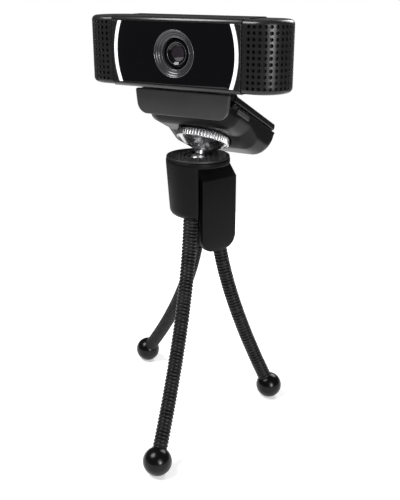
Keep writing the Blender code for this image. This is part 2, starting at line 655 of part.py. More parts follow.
def camera_pieces(camera):
    front, back = -BODY_D / 2, BODY_D / 2
    edge = GRILLE_X - GAP / 2
    opening = prism("window_opening", window_outline(GUIDE_W + 2 * GAP), front - 2, front + BODY_WALL + 2, "XZ", camera)
    trim = box("opening_height", (-40, front - 3, -WINDOW_H / 2 - GAP), (40, front + 5, WINDOW_H / 2 + GAP), camera)
    boolean(opening, trim, "INTERSECT")
    case_slice("front_frame", (-edge, front - 1, -20), (edge, SEAM_Y - GAP / 2, 20), camera, "satin_plastic", [opening])
    gland_hole = rod("gland_hole", (0, back - 4, GLAND_Z), (0, back + 4, GLAND_Z), GLAND_R + 0.4, camera)
    rear = case_slice("rear_shell", (-edge, SEAM_Y + GAP / 2, -20), (edge, back + 1, 20), camera, "satin_plastic",
                      [gland_hole])
    camera_lugs(rear, camera)
    for sign, side in ((-1, "left"), (1, "right")):
        low, high = sorted((sign * (GRILLE_X + GAP / 2), sign * BODY_W))
        case_slice("grille_" + side, (low, front - 1, -20), (high, back + 1, 20), camera, "grey_plastic",
                   step=GRILLE_STEP)

    glass = prism("front_window", window_outline(0), front + 0.1, front + 0.1 + WINDOW_T, "XZ", camera, "gloss_black")
    bevel(glass, 0.2, 1)
    for sign, side in ((-1, "left"), (1, "right")):
        outer = prism("light_guide_" + side, window_outline(GUIDE_W + GAP), front, front + 1.6, "XZ", camera, "white_guide")
        boolean(outer, prism("guide_inner_" + side, window_outline(GAP), front - 2, front + 4, "XZ", camera))
        low, high = sorted((sign * (WINDOW_HALF - 2.0), sign * 40.0))
        boolean(outer, box("guide_region_" + side, (low, front - 3, -WINDOW_H / 2), (high, front + 5, WINDOW_H / 2), camera),
                "INTERSECT")

    turn = (math.radians(90), 0, 0)            # turned pieces look along -Y
    deep = front + WINDOW_T + 0.1 + GAP
    housing = turned("lens_housing", [(BARREL_R + 0.3, -deep - 10.0), (LENS_R, -deep - 10.0), (LENS_R, -deep - 0.01),
                                      (LENS_R - 0.6, -deep), (BARREL_R + 0.3, -deep - 3.0)][::-1], camera, "gloss_black", 40)
    barrel = turned("lens_barrel", [(3.4, -deep - 9.0), (BARREL_R, -deep - 9.0), (BARREL_R, -deep - 3.2),
                                    (3.4, -deep - 4.0)][::-1], camera, "gloss_black", 40)
    glass_face = -deep - 4.6
    lens = turned("lens_glass", [(0, glass_face - 2.4), (3.1, glass_face - 2.4), (3.1, glass_face - 0.7),
                                 (2.2, glass_face - 0.25), (1.1, glass_face - 0.05), (0, glass_face)][::-1],
                  camera, "lens_glass", 32)
    for piece in (housing, barrel, lens):
        piece.rotation_euler = turn
    board_y = deep + 13.0
    box("circuit_board", (-29, board_y, -10.5), (29, board_y + 1.2, 10.5), camera, "board_green")
    box("image_sensor", (-4.5, board_y - GAP - 1.2, -4.0), (4.5, board_y - GAP, 4.0), camera, "gloss_black", 0.2)
    for sign, side in ((-1, "left"), (1, "right")):
        rod("microphone_" + side, (sign * MIC_X, front + BODY_WALL + 1.4, 0), (sign * MIC_X, front + BODY_WALL + 3.6, 0),
            MIC_R, camera, "bright_metal")
    gland = turned("cable_gland", [(0, 0), (GLAND_R, 0), (GLAND_R, 2.2), (3.6, 2.2), (3.6, 3.6), (3.1, 6.5), (0, 6.5)][::-1],
                   camera, "rubber", 24)
    gland.rotation_euler = (math.radians(-90), 0, 0)
    gland.location = (0, (back - 1.9) * MM, GLAND_Z * MM)


def camera_lugs(rear, camera):
    """Two round lugs under the case, on the camera's hinge pin."""
    y, z = CAMERA_PIN_Y - BODY_Y, CAMERA_PIN_Z - BODY_Z
    for sign in (-1, 1):
        low, high = sorted((sign * CAMERA_LUG_X, sign * (CAMERA_LUG_X + CAMERA_LUG_W)))
        outline = arc((y, z), CAMERA_LUG_R, 180, 360, 8)
        outline += [(y + CAMERA_LUG_R, -BODY_H / 2 + 0.8), (y - CAMERA_LUG_R, -BODY_H / 2 + 0.8)]
        boolean(rear, prism("camera_lug", outline, low, high, "YZ", camera), "UNION")
        boolean(rear, rod("lug_bore", (low - 1, y, z), (high + 1, y, z), PIN_R + RUN, camera, sides=16))


def build():
    start()
    origin = empty("tripod_origin", AXIS)
    head_pieces(origin)
    for side, holder in HOLDERS.items():
        pin("hinge_pin_" + side, holder, origin, PIN_R, "bright_metal")
        holder_piece(side, holder, origin)
    stud = empty("stud_axis", (0, 0, BALL_Z), (-TILT, 0, 0), origin)
    stud_pieces(origin, stud)
    clip_leg_pieces(stud)
    clip_arm_pieces(origin, stud)
    camera = empty("camera_frame", (0, BODY_Y, BODY_Z), None, origin)
    camera_pieces(camera)
    leg_pieces("front", Vector((*FRONT_LEG, LOBE_BOTTOM)), origin)
    for side, holder in HOLDERS.items():
        leg_pieces(side, holder_leg_point(holder), origin)
    bpy.context.view_layer.update()


build()
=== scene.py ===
import bmesh, bpy, json, math
import numpy as np
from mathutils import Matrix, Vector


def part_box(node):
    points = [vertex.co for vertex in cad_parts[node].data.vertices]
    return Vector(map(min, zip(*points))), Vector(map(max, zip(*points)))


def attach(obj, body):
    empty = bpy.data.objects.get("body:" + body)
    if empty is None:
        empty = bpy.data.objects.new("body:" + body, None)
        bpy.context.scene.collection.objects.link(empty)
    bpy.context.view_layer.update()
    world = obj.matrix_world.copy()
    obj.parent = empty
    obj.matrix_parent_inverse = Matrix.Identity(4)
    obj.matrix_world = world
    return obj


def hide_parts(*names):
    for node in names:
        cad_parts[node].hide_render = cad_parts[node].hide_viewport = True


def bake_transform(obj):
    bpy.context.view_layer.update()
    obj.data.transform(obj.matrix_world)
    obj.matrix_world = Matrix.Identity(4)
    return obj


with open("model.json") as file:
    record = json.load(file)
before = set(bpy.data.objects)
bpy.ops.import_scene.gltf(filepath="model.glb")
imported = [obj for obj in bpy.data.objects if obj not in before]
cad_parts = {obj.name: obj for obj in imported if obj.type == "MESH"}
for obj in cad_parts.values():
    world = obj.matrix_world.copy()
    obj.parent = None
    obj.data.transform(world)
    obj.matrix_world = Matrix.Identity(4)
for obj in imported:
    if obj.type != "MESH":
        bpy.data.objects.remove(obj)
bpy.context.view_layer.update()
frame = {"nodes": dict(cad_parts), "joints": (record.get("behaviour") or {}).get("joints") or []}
mm = 0.001
tau = 2 * math.pi
joints = {joint["name"]: joint for joint in frame["joints"]}
up = (0, 0, 1.0)


def nodeBox(name):
    # lowest and highest corners of a CAD node, in millimetres
    low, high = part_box(name)
    return np.array(low) / mm, np.array(high) / mm


def nodePoints(name):
    # corners of a CAD node in millimetres, in the row frame
    solid = frame["nodes"][name]
    flat = np.empty(len(solid.data.vertices) * 3)
    solid.data.vertices.foreach_get("co", flat)
    world = np.array(solid.matrix_world)
    return (flat.reshape(-1, 3) @ world[:3, :3].T + world[:3, 3]) / mm


def middle(name):
    # centre of a CAD node's box
    low, high = nodeBox(name)
    return (low + high) / 2


def jointPlace(name):
    # a joint's centre in millimetres
    return np.array(joints[name]["pos_m"]) / mm


# places in the row frame, read from the CAD nodes and joints
headAxis = middle("top_pad") * (1, 1, 0)
ballCentre = jointPlace("ball_tilt")
studLine = np.array(joints["clip_swivel"]["axis"])
acrossLine = np.array((1.0, 0.0, 0.0))
backLine = np.cross(studLine, acrossLine)
caseLow = np.minimum(nodeBox("grille_left")[0], nodeBox("front_frame")[0])
caseHigh = np.maximum(nodeBox("grille_right")[1], nodeBox("rear_shell")[1])
caseCentre = (caseLow + caseHigh) / 2
caseHalf = (caseHigh - caseLow) / 2
upright = np.eye(3)
tilted = np.array((acrossLine, backLine, studLine))


def placed(points, origin, axes=upright):
    # local x, y, z times three axis lines, plus the origin
    return np.asarray(points) @ np.asarray(axes) + np.asarray(origin)


def gridFaces(rows, columns, closeRows=False, closeColumns=False):
    # quads of a grid of rows by columns, wrapped round where asked
    r = np.arange(rows if closeRows else rows - 1)[:, None]
    c = np.arange(columns if closeColumns else columns - 1)[None, :]
    r2, c2 = (r + 1) % rows, (c + 1) % columns
    return np.stack([r * columns + c, r * columns + c2, r2 * columns + c2, r2 * columns + c], -1).reshape(-1, 4)


def addPiece(name, points, faces, material, body, replaced=(), extra=(), sharp=38):
    # one mesh from points in millimetres and faces as index arrays; extra holds faces of other sizes
    mesh = bpy.data.meshes.new(name)
    points = np.asarray(points, np.float64).reshape(-1, 3) * mm
    faces = np.asarray(faces, np.int64)
    lists = [np.asarray(f, np.int64) for f in extra]
    sizes = np.concatenate([np.full(len(faces), faces.shape[1])] + [[len(f)] for f in lists]).astype(np.int32)
    corners = np.concatenate([faces.ravel()] + lists).astype(np.int32)
    mesh.vertices.add(len(points))
    mesh.vertices.foreach_set("co", points.astype(np.float32).ravel())
    mesh.loops.add(len(corners))
    mesh.loops.foreach_set("vertex_index", corners)
    mesh.polygons.add(len(sizes))
    mesh.polygons.foreach_set("loop_start", (np.cumsum(sizes) - sizes).astype(np.int32))
    mesh.polygons.foreach_set("loop_total", sizes)
    mesh.update(calc_edges=True)
    mesh.validate()
    tidyNormals(mesh)
    mesh.shade_smooth()
    mesh.set_sharp_from_angle(angle=math.radians(sharp))
    mesh.materials.append(material)
    piece = bpy.data.objects.new(name, mesh)
    bpy.context.scene.collection.objects.link(piece)
    if body is not None:
        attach(piece, body)
    if replaced:
        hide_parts(*replaced)
    return piece


def tidyNormals(mesh):
    # doubles merged, then faces turned outwards: a negative volume means they all point in
    bm = bmesh.new()
    bm.from_mesh(mesh)
    bmesh.ops.remove_doubles(bm, verts=bm.verts, dist=1e-6)
    bmesh.ops.recalc_face_normals(bm, faces=bm.faces)
    if bm.calc_volume(signed=True) < 0:
        bmesh.ops.reverse_faces(bm, faces=bm.faces)
    bm.to_mesh(mesh)
    bm.free()


def arcPoints(centre, radius, first, last, steps):
    # points on a circle's arc between two angles in degrees
    turn = np.radians(np.linspace(first, last, steps + 1))
    return np.stack([centre[0] + radius * np.cos(turn), centre[1] + radius * np.sin(turn)], 1)


def roundedOutline(halfWide, halfTall, radius, centre=(0, 0), steps=8):
    # a rectangle's edge with a quarter arc at each corner
    x, y = halfWide - radius, halfTall - radius
    parts = [arcPoints((centre[0] + sx * x, centre[1] + sy * y), radius, a, a + 90, steps)
             for sx, sy, a in ((1, 1, 0), (-1, 1, 90), (-1, -1, 180), (1, -1, 270))]
    return np.concatenate(parts)


def inset(outline, by):
    # the outline moved inwards: each corner goes along the mean of its two edge normals
    edge = np.roll(outline, -1, 0) - outline
    edge = edge / np.maximum(np.linalg.norm(edge, axis=1), 1e-9)[:, None]
    normal = np.stack([-edge[:, 1], edge[:, 0]], 1)
    both = normal + np.roll(normal, 1, 0)
    both = both / np.maximum((both ** 2).sum(1), 1e-9)[:, None] * 2
    area = 0.5 * np.sum(outline[:, 0] * np.roll(outline[:, 1], -1) - np.roll(outline[:, 0], -1) * outline[:, 1])
    return outline + both * by * np.sign(area)


def loft(rings):
    # rings of equal length joined by quads, with a many-sided face on the first and the last
    rows, count = len(rings), len(rings[0])
    ends = [np.arange(count)[::-1], np.arange(count) + (rows - 1) * count]
    return np.concatenate(rings), gridFaces(rows, count, closeColumns=True), ends


def slab(outline, low, high, radius, steps=4):
    # a flat outline given thickness: rings that follow quarter circles at both edges, closed by two faces
    turn = np.linspace(0, math.pi / 2, steps + 1)
    insets = np.concatenate([radius * (1 - np.sin(turn)), radius * (1 - np.cos(turn))])
    levels = np.concatenate([low + radius * (1 - np.cos(turn)), high - radius * (1 - np.sin(turn))])
    return loft([np.column_stack([inset(outline, i), np.full(len(outline), z)]) for i, z in zip(insets, levels)])


def axisOrder(points, order):
    # reads a slab's flat x, flat y and thickness as the named axes, such as yzx
    out = np.empty_like(points)
    for index, letter in enumerate(order):
        out[:, "xyz".index(letter)] = points[:, index]
    return out


def turnedSurface(profile, sides, ripple=None):
    # a profile of radius and height spun about z; ripple(angle, row) adds to the radius
    profile = np.asarray(profile, float)
    angle = np.linspace(0, tau, sides, endpoint=False)
    radius = np.repeat(profile[:, :1], sides, 1)
    if ripple is not None:
        radius = radius + ripple(angle[None, :], np.arange(len(profile))[:, None])
    height = np.repeat(profile[:, 1:], sides, 1)
    points = np.stack([radius * np.cos(angle), radius * np.sin(angle), height], -1).reshape(-1, 3)
    return points, gridFaces(len(profile), sides, closeColumns=True)


def tubeSurface(path, radius, sides, flatNormal):
    # a round section carried along a flat path; flatNormal stands across the path's plane
    line = np.gradient(path, axis=0)
    line = line / np.linalg.norm(line, axis=1)[:, None]
    side = np.cross(flatNormal, line)
    angle = np.linspace(0, tau, sides, endpoint=False)
    ring = np.cos(angle)[None, :, None] * side[:, None, :] + np.sin(angle)[None, :, None] * flatNormal
    return loft(path[:, None, :] + radius[:, None, None] * ring)


def grainGroup():
    # fine grain and soft patches: noise at two scales, put out as masks and a height
    group = bpy.data.node_groups.new("fine grain", "ShaderNodeTree")
    for name, kind, way in (("Grain Scale", "NodeSocketFloat", "INPUT"), ("Patch Scale", "NodeSocketFloat", "INPUT"),
                            ("Grain Height", "NodeSocketFloat", "OUTPUT"), ("Patch Mask", "NodeSocketFloat", "OUTPUT"),
                            ("Speck Mask", "NodeSocketFloat", "OUTPUT")):
        group.interface.new_socket(name, in_out=way, socket_type=kind)
    nodes, links = group.nodes, group.links
    inward, outward = nodes.new("NodeGroupInput"), nodes.new("NodeGroupOutput")
    place = nodes.new("ShaderNodeTexCoord")
    fine, patch, speck = (nodes.new("ShaderNodeTexNoise") for _ in range(3))
    patch.inputs["Detail"].default_value = 3
    fine.inputs["Detail"].default_value = 4
    ramp = nodes.new("ShaderNodeMapRange")
    ramp.inputs["From Min"].default_value, ramp.inputs["From Max"].default_value = 0.62, 0.78
    for noise, socket in ((fine, "Grain Scale"), (patch, "Patch Scale"), (speck, "Grain Scale")):
        links.new(place.outputs["Object"], noise.inputs["Vector"])
        links.new(inward.outputs[socket], noise.inputs["Scale"])
    links.new(speck.outputs["Fac"], ramp.inputs["Value"])
    links.new(fine.outputs["Fac"], outward.inputs["Grain Height"])
    links.new(patch.outputs["Fac"], outward.inputs["Patch Mask"])
    links.new(ramp.outputs["Result"], outward.inputs["Speck Mask"])
    return group


grain = grainGroup()


def finish(name, dark, light, rough, grainScale, patchScale, bump, specular=0.5, metallic=0.0, speck=None, glow=None):
    # a Principled surface whose colour and roughness wander between two values, with a fine bump
    made = bpy.data.materials.new(name)
    made.use_nodes = True
    nodes, links = made.node_tree.nodes, made.node_tree.links
    shader = nodes["Principled BSDF"]
    effect = nodes.new("ShaderNodeGroup")
    effect.node_tree = grain
    effect.inputs["Grain Scale"].default_value = grainScale
    effect.inputs["Patch Scale"].default_value = patchScale
    colour = nodes.new("ShaderNodeMix")
    colour.data_type = "RGBA"
    colour.inputs[6].default_value, colour.inputs[7].default_value = (*dark, 1), (*light, 1)
    links.new(effect.outputs["Patch Mask"], colour.inputs[0])
    last = colour.outputs[2]
    if speck:
        dust = nodes.new("ShaderNodeMix")
        dust.data_type = "RGBA"
        dust.inputs[7].default_value = (*speck, 1)
        links.new(last, dust.inputs[6])
        links.new(effect.outputs["Speck Mask"], dust.inputs[0])
        last = dust.outputs[2]
    links.new(last, shader.inputs["Base Color"])
    spread = nodes.new("ShaderNodeMapRange")
    spread.inputs["From Min"].default_value, spread.inputs["From Max"].default_value = 0.3, 0.7
    spread.inputs["To Min"].default_value, spread.inputs["To Max"].default_value = rough
    links.new(effect.outputs["Patch Mask"], spread.inputs["Value"])
    links.new(spread.outputs["Result"], shader.inputs["Roughness"])
    relief = nodes.new("ShaderNodeBump")
    relief.inputs["Strength"].default_value = bump
    relief.inputs["Distance"].default_value = 0.0001
    links.new(effect.outputs["Grain Height"], relief.inputs["Height"])
    links.new(relief.outputs["Normal"], shader.inputs["Normal"])
    shader.inputs["Metallic"].default_value = metallic
    shader.inputs["Specular IOR Level"].default_value = specular
    if glow:
        shader.inputs["Emission Color"].default_value = (*glow[:3], 1)
        shader.inputs["Emission Strength"].default_value = glow[3]
    return made


def paintGrooveShade(material, paintedShade):
    # painted shade: where the point attribute groove is 1, in the rib grooves, the base colour is darkened towards the
    # shade colour
    nodes, links = material.node_tree.nodes, material.node_tree.links
    colour = nodes["Principled BSDF"].inputs["Base Color"]
    mask, mix = nodes.new("ShaderNodeAttribute"), nodes.new("ShaderNodeMix")
    mask.attribute_name = "groove"
    mix.data_type = "RGBA"
    mix.inputs[7].default_value = (*paintedShade, 1)
    links.new(mask.outputs["Fac"], mix.inputs[0])
    links.new(colour.links[0].from_socket, mix.inputs[6])
    links.new(mix.outputs[2], colour)


satinPlastic = finish("satin plastic", (0.0030, 0.0030, 0.0032), (0.0055, 0.0055, 0.0057), (0.26, 0.38),
                      2600, 60, 0.12, 0.10)
flapPlastic = finish("flap plastic", (0.030, 0.030, 0.031), (0.042, 0.042, 0.043), (0.36, 0.46), 2400, 50, 0.12, 0.3)
grillePlastic = finish("grille plastic", (0.008, 0.008, 0.0085), (0.013, 0.013, 0.0135), (0.24, 0.34),
                       2400, 70, 0.1, 0.36)
bezelPlastic = finish("bezel plastic", (0.007, 0.007, 0.0075), (0.012, 0.012, 0.0125), (0.2, 0.3),
                      2600, 60, 0.05, 0.45)
headPlastic = finish("head plastic", (0.0028, 0.0028, 0.0030), (0.0048, 0.0048, 0.0050), (0.34, 0.46),
                     2200, 55, 0.2, 0.10)
softRubber = finish("soft rubber", (0.0015, 0.0015, 0.0015), (0.003, 0.003, 0.003), (0.16, 0.26), 1500, 60, 0.1, 0.2)
padRubber = finish("pad rubber", (0.006, 0.006, 0.006), (0.011, 0.011, 0.011), (0.4, 0.55), 1800, 80, 0.3, 0.4)
neckRubber = finish("neck rubber", (0.0050, 0.0050, 0.0052), (0.010, 0.010, 0.0102), (0.28, 0.42), 900, 90, 0.35, 0.16,
                    speck=(0.04, 0.04, 0.04))
# painted shade: the neck's rib grooves are darkened in its base colour
paintGrooveShade(neckRubber, (0.0006, 0.0006, 0.0006))
brightMetal = finish("bright metal", (0.47, 0.47, 0.48), (0.66, 0.66, 0.67), (0.2, 0.34), 1600, 120, 0.08, metallic=1.0)
glossBlack = finish("gloss black", (0.0015, 0.0015, 0.002), (0.0025, 0.0025, 0.003), (0.03, 0.06), 900, 40, 0.01, 0.3)
whiteGuide = finish("white guide", (0.86, 0.87, 0.88), (0.95, 0.95, 0.96), (0.2, 0.3), 900, 60, 0.03,
                    glow=(0.9, 0.92, 0.95, 0.35))
lensCoating = finish("lens coating", (0.006, 0.005, 0.008), (0.024, 0.017, 0.022), (0.02, 0.05), 600, 300, 0.0, 0.7)
ringGrey = finish("ring grey", (0.020, 0.020, 0.022), (0.028, 0.028, 0.030), (0.22, 0.3), 1500, 80, 0.05)
ringLight = finish("ring light", (0.13, 0.13, 0.14), (0.2, 0.2, 0.21), (0.15, 0.25), 1500, 80, 0.05, metallic=0.6)
clothBlack = finish("cloth black", (0.002, 0.002, 0.002), (0.004, 0.004, 0.004), (0.7, 0.9), 1800, 80, 0.4)
boardMask = finish("board mask", (0.01, 0.10, 0.04), (0.02, 0.16, 0.06), (0.3, 0.45), 1200, 300, 0.3,
                   speck=(0.5, 0.4, 0.15))
print("materials done")


gooseneck = {"radius": 3.35, "ribPitch": 1.55, "ribDepth": 0.42, "samplesPerRib": 7, "sides": 40, "split": 0.48,
             "firstBend": 0.30, "secondBend": 0.66, "blendReach": 11.0}


def legCurve(side):
    # the quadratic curve through both bend points that ends at the ball: its start and knee are solved for
    first, second = jointPlace(side + "_bend_upper"), jointPlace(side + "_bend_lower")
    ball = middle("foot_" + side)
    share = np.array([[(1 - t) ** 2, 2 * t * (1 - t)] for t in (gooseneck["firstBend"], gooseneck["secondBend"])])
    rest = np.array([first - gooseneck["firstBend"] ** 2 * ball, second - gooseneck["secondBend"] ** 2 * ball])
    start, knee = np.linalg.solve(share, rest)
    flat = np.cross(knee - start, ball - knee)
    return start, knee, ball, flat / np.linalg.norm(flat)


def legStretch(side, name, fromT, toT, bend, replaced, above=0.0):
    # a ribbed tube: the radius dips in a rounded groove once per rib pitch along the path
    start, knee, ball, flat = legCurve(side)
    t = np.linspace(fromT, toT, 400)[:, None]
    path = start * (1 - t) ** 2 + knee * 2 * t * (1 - t) + ball * t ** 2
    if above:
        path = np.concatenate([path[:1] + np.array((0, 0, above)) * np.linspace(1, 0.02, 30)[:, None], path])
    step = np.concatenate([[0], np.cumsum(np.linalg.norm(np.diff(path, axis=0), axis=1))])
    count = int(step[-1] / gooseneck["ribPitch"]) * gooseneck["samplesPerRib"]
    along = np.linspace(0, step[-1], count)
    path = np.stack([np.interp(along, step, path[:, i]) for i in range(3)], 1)
    groove = np.abs(np.cos(math.pi * along / gooseneck["ribPitch"])) ** 6
    radius = gooseneck["radius"] - gooseneck["ribDepth"] * groove
    points, faces, caps = tubeSurface(path, radius, gooseneck["sides"], flat)
    piece = addPiece(name, points, faces, neckRubber, None, replaced, caps, 75)
    # the tube's direction at the joint, scaled to blendReach, is worked out here but not used
    place = jointPlace(bend)
    near = np.argmin(np.linalg.norm(path - place, axis=1))
    way = path[near + 3] - path[near - 3]
    way = way / np.linalg.norm(way) * gooseneck["blendReach"]
    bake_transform(piece)
    # the groove profile is kept per point as the attribute groove, which paints shade into the rib grooves
    paintedGrooveShade = piece.data.attributes.new("groove", "FLOAT", "POINT")
    paintedGrooveShade.data.foreach_set("value", np.repeat(groove, gooseneck["sides"]).astype(np.float32))


for side, holder in (("front", "head"), ("right", "right_holder"), ("rear", "rear_holder")):
    legStretch(side, side + "_neck_top", 0.0, gooseneck["split"], side + "_bend_upper",
               (side + "_leg_upper", side + "_leg_middle"), 5.5)
    legStretch(side, side + "_neck_low", gooseneck["split"] - 0.004, 0.965,
               side + "_bend_lower", (side + "_leg_lower",))
print("goosenecks done")

ballFoot = {"rings": 30, "sides": 48}


def footPiece(side):
    # a circle's arc from the flat underneath to the pole, turned about z
    low, high = nodeBox("foot_" + side)
    centre = (low + high) / 2
    radius = (high[0] - low[0]) / 2
    centre[2] = high[2] - radius
    start = math.acos((centre[2] - low[2]) / radius)
    turn = np.linspace(math.pi - start, 0.0, ballFoot["rings"])
    profile = np.stack([radius * np.sin(turn), radius * np.cos(turn)], 1)
    profile[-1, 0] = 0.0
    points, faces = turnedSurface(profile, ballFoot["sides"])
    caps = [np.arange(ballFoot["sides"])[::-1]]
    addPiece(side + "_ball", placed(points, centre), faces, softRubber, side + "_end", ("foot_" + side,), caps, 50)


for side in ("front", "right", "rear"):
    footPiece(side)
print("feet done")

headShape = {"discThick": 2.2, "discEdge": 0.45, "padHole": 6.5, "padRows": 34, "padSides": 180, "diamondPitch": 2.3,
             "diamondDeep": 0.28, "diamondSkew": 0.58, "lobeSide": 0.2, "lobeBack": -1.4, "lobeSideTurn": 30.0,
             "lobeBackTurn": 100.0, "lobeFootRadius": 12.8, "lobeFootRound": 3.0, "coreRadius": 5.2, "coreDeep": 5.4,
             "earRadius": 2.1}


def headPieces():
    # disc, pad and core are turned profiles; the lobe is lofted
    padLow, padHigh = nodeBox("top_pad")
    discR = (nodeBox("head_body")[1][0] - nodeBox("head_body")[0][0]) / 2
    discTop = nodeBox("head_body")[1][2]
    # disc: a turned ring with round edges
    low, edge = discTop - headShape["discThick"], headShape["discEdge"]
    outer = np.concatenate([arcPoints((discR - edge, low + edge), edge, -90, 0, 6),
                            arcPoints((discR - edge, discTop - edge), edge, 0, 90, 6)])
    profile = np.concatenate([[(0.0, low)], outer, [(0.0, discTop)]])
    points, faces = turnedSurface(profile, 96)
    addPiece("head_disc", placed(points, headAxis), faces, headPlastic, "head", ("head_body",))
    # pad: rings from its hole to its rim, pressed into diamonds by the larger of two crossed cosines
    reach, hole = (padHigh[0] - padLow[0]) / 2, headShape["padHole"]
    radius = np.concatenate([[hole, hole], np.linspace(hole + 0.2, reach - 0.5, headShape["padRows"]),
                             [reach - 0.2, reach, reach, hole]])
    height = np.concatenate([[padLow[2], padHigh[2] - 0.15], np.full(headShape["padRows"], padHigh[2]),
                             [padHigh[2] - 0.12, padHigh[2] - 0.4, padLow[2], padLow[2]]])
    angle = np.linspace(0, tau, headShape["padSides"], endpoint=False)
    x, y = radius[:, None] * np.cos(angle), radius[:, None] * np.sin(angle)
    k, skew = math.pi / headShape["diamondPitch"], headShape["diamondSkew"]
    wave = np.maximum(np.abs(np.cos(k * (x + skew * y))), np.abs(np.cos(k * (x - skew * y)))) ** 4
    inside = ((radius > hole + 0.1) & (radius < reach - 0.4))[:, None]
    z = height[:, None] - headShape["diamondDeep"] * wave * inside
    points = np.stack([x, y, z], -1).reshape(-1, 3)
    faces = gridFaces(len(radius), headShape["padSides"], closeColumns=True)
    addPiece("grip_pad", placed(points, headAxis), faces, padRubber, "head", ("top_pad",), (), 60)
    # lobe: part of the tapered round between a flat side and a flat back, lofted in z
    bodyLow = nodeBox("head_body")[0][2]
    footR, bend = headShape["lobeFootRadius"], headShape["lobeFootRound"]
    heights = np.concatenate([bodyLow + bend * (1 - np.cos(np.linspace(0, math.pi / 2, 9))),
                              np.linspace(bodyLow + bend + 1, low + 0.6, 14)])
    rows = []
    for z in heights:
        outline = lobeOutline(footR + (discR - footR) * (z - bodyLow) / (low - bodyLow))
        pull = bend - math.sqrt(max(0.0, bend ** 2 - max(0.0, bodyLow + bend - z) ** 2))
        rows.append(np.column_stack([inset(outline, pull), np.full(len(outline), z)]))
    points, faces, caps = loft(rows)
    addPiece("front_lobe", placed(points, headAxis), faces, headPlastic, "head", (), caps, 50)
    # core: the socket's outside under the disc
    coreLow, coreR = low - headShape["coreDeep"], headShape["coreRadius"]
    profile = [(0.0, coreLow), (coreR - 0.8, coreLow), (coreR - 0.1, coreLow + 0.7), (coreR, low + 0.3),
               (0.0, low + 0.3)]
    points, faces = turnedSurface(profile, 48)
    addPiece("socket_core", placed(points, headAxis), faces, headPlastic, "head", ())
    for side in ("right", "rear"):
        earPiece(side, low)


def lobeOutline(radius):
    # half plane cuts of a circle: the arc between the flat side and the flat back, with round corners
    sideTurn, backTurn = math.radians(headShape["lobeSideTurn"]), math.radians(headShape["lobeBackTurn"])
    sideLine = np.array((math.cos(sideTurn), math.sin(sideTurn)))
    rearLine = np.array((math.cos(backTurn), math.sin(backTurn)))
    corner = np.linalg.solve((sideLine, rearLine), (headShape["lobeSide"], headShape["lobeBack"]))
    firstArc = backTurn + math.acos(headShape["lobeBack"] / radius)
    lastArc = sideTurn + tau - math.acos(headShape["lobeSide"] / radius)
    arc = np.linspace(firstArc, lastArc, 60)
    curved = np.stack([radius * np.cos(arc), radius * np.sin(arc)], 1)
    share = np.linspace(0.08, 0.92, 12)[:, None]
    toCorner = curved[-1] * (1 - share) + corner * share
    fromCorner = corner * (1 - share) + curved[0] * share
    whole = np.concatenate([curved, toCorner, fromCorner])
    for _ in range(3):
        whole = (np.roll(whole, 1, 0) + 2 * whole + np.roll(whole, -1, 0)) / 4
    return whole


def holderLines(side):
    # outward line, line along the face, and the place of a holder's hinge
    axis = np.array(joints["holder_" + side + "_swing"]["axis"])
    along = -axis
    out = np.cross(along, (0, 0, 1.0))
    return out, along, jointPlace("holder_" + side + "_swing")


def pinHalf(side, along):
    # half the hinge pin's length, from its box
    low, high = nodeBox("hinge_pin_" + side)
    return abs((high - low) @ np.abs(along)) / 2


def earPiece(side, discLow):
    # a tab under the disc: a half round end hanging around the hinge pin
    out, along, hinge = holderLines(side)
    half, r, top = pinHalf(side, along) * 0.32, headShape["earRadius"], discLow - hinge[2] + 0.4
    outline = np.concatenate([arcPoints((0, 0), r, 180, 360, 14), [(r, top), (-r, top)]])
    points, faces, caps = slab(outline, -half, half, 0.25)
    addPiece(side + "_hinge_ear", placed(axisOrder(points, "xzy"), hinge, (out, along, up)), faces, headPlastic,
             "head", (), caps)


headPieces()
print("head done")

holderShape = {"plateThick": 2.5, "slopeDrop": 5.5, "slopeOut": 4.9, "corner": 6.5, "bossRadius": 4.6,
               "bossEdge": 1.0, "bossTop": 115.0, "webHalf": 3.4, "knuckle": 2.5}


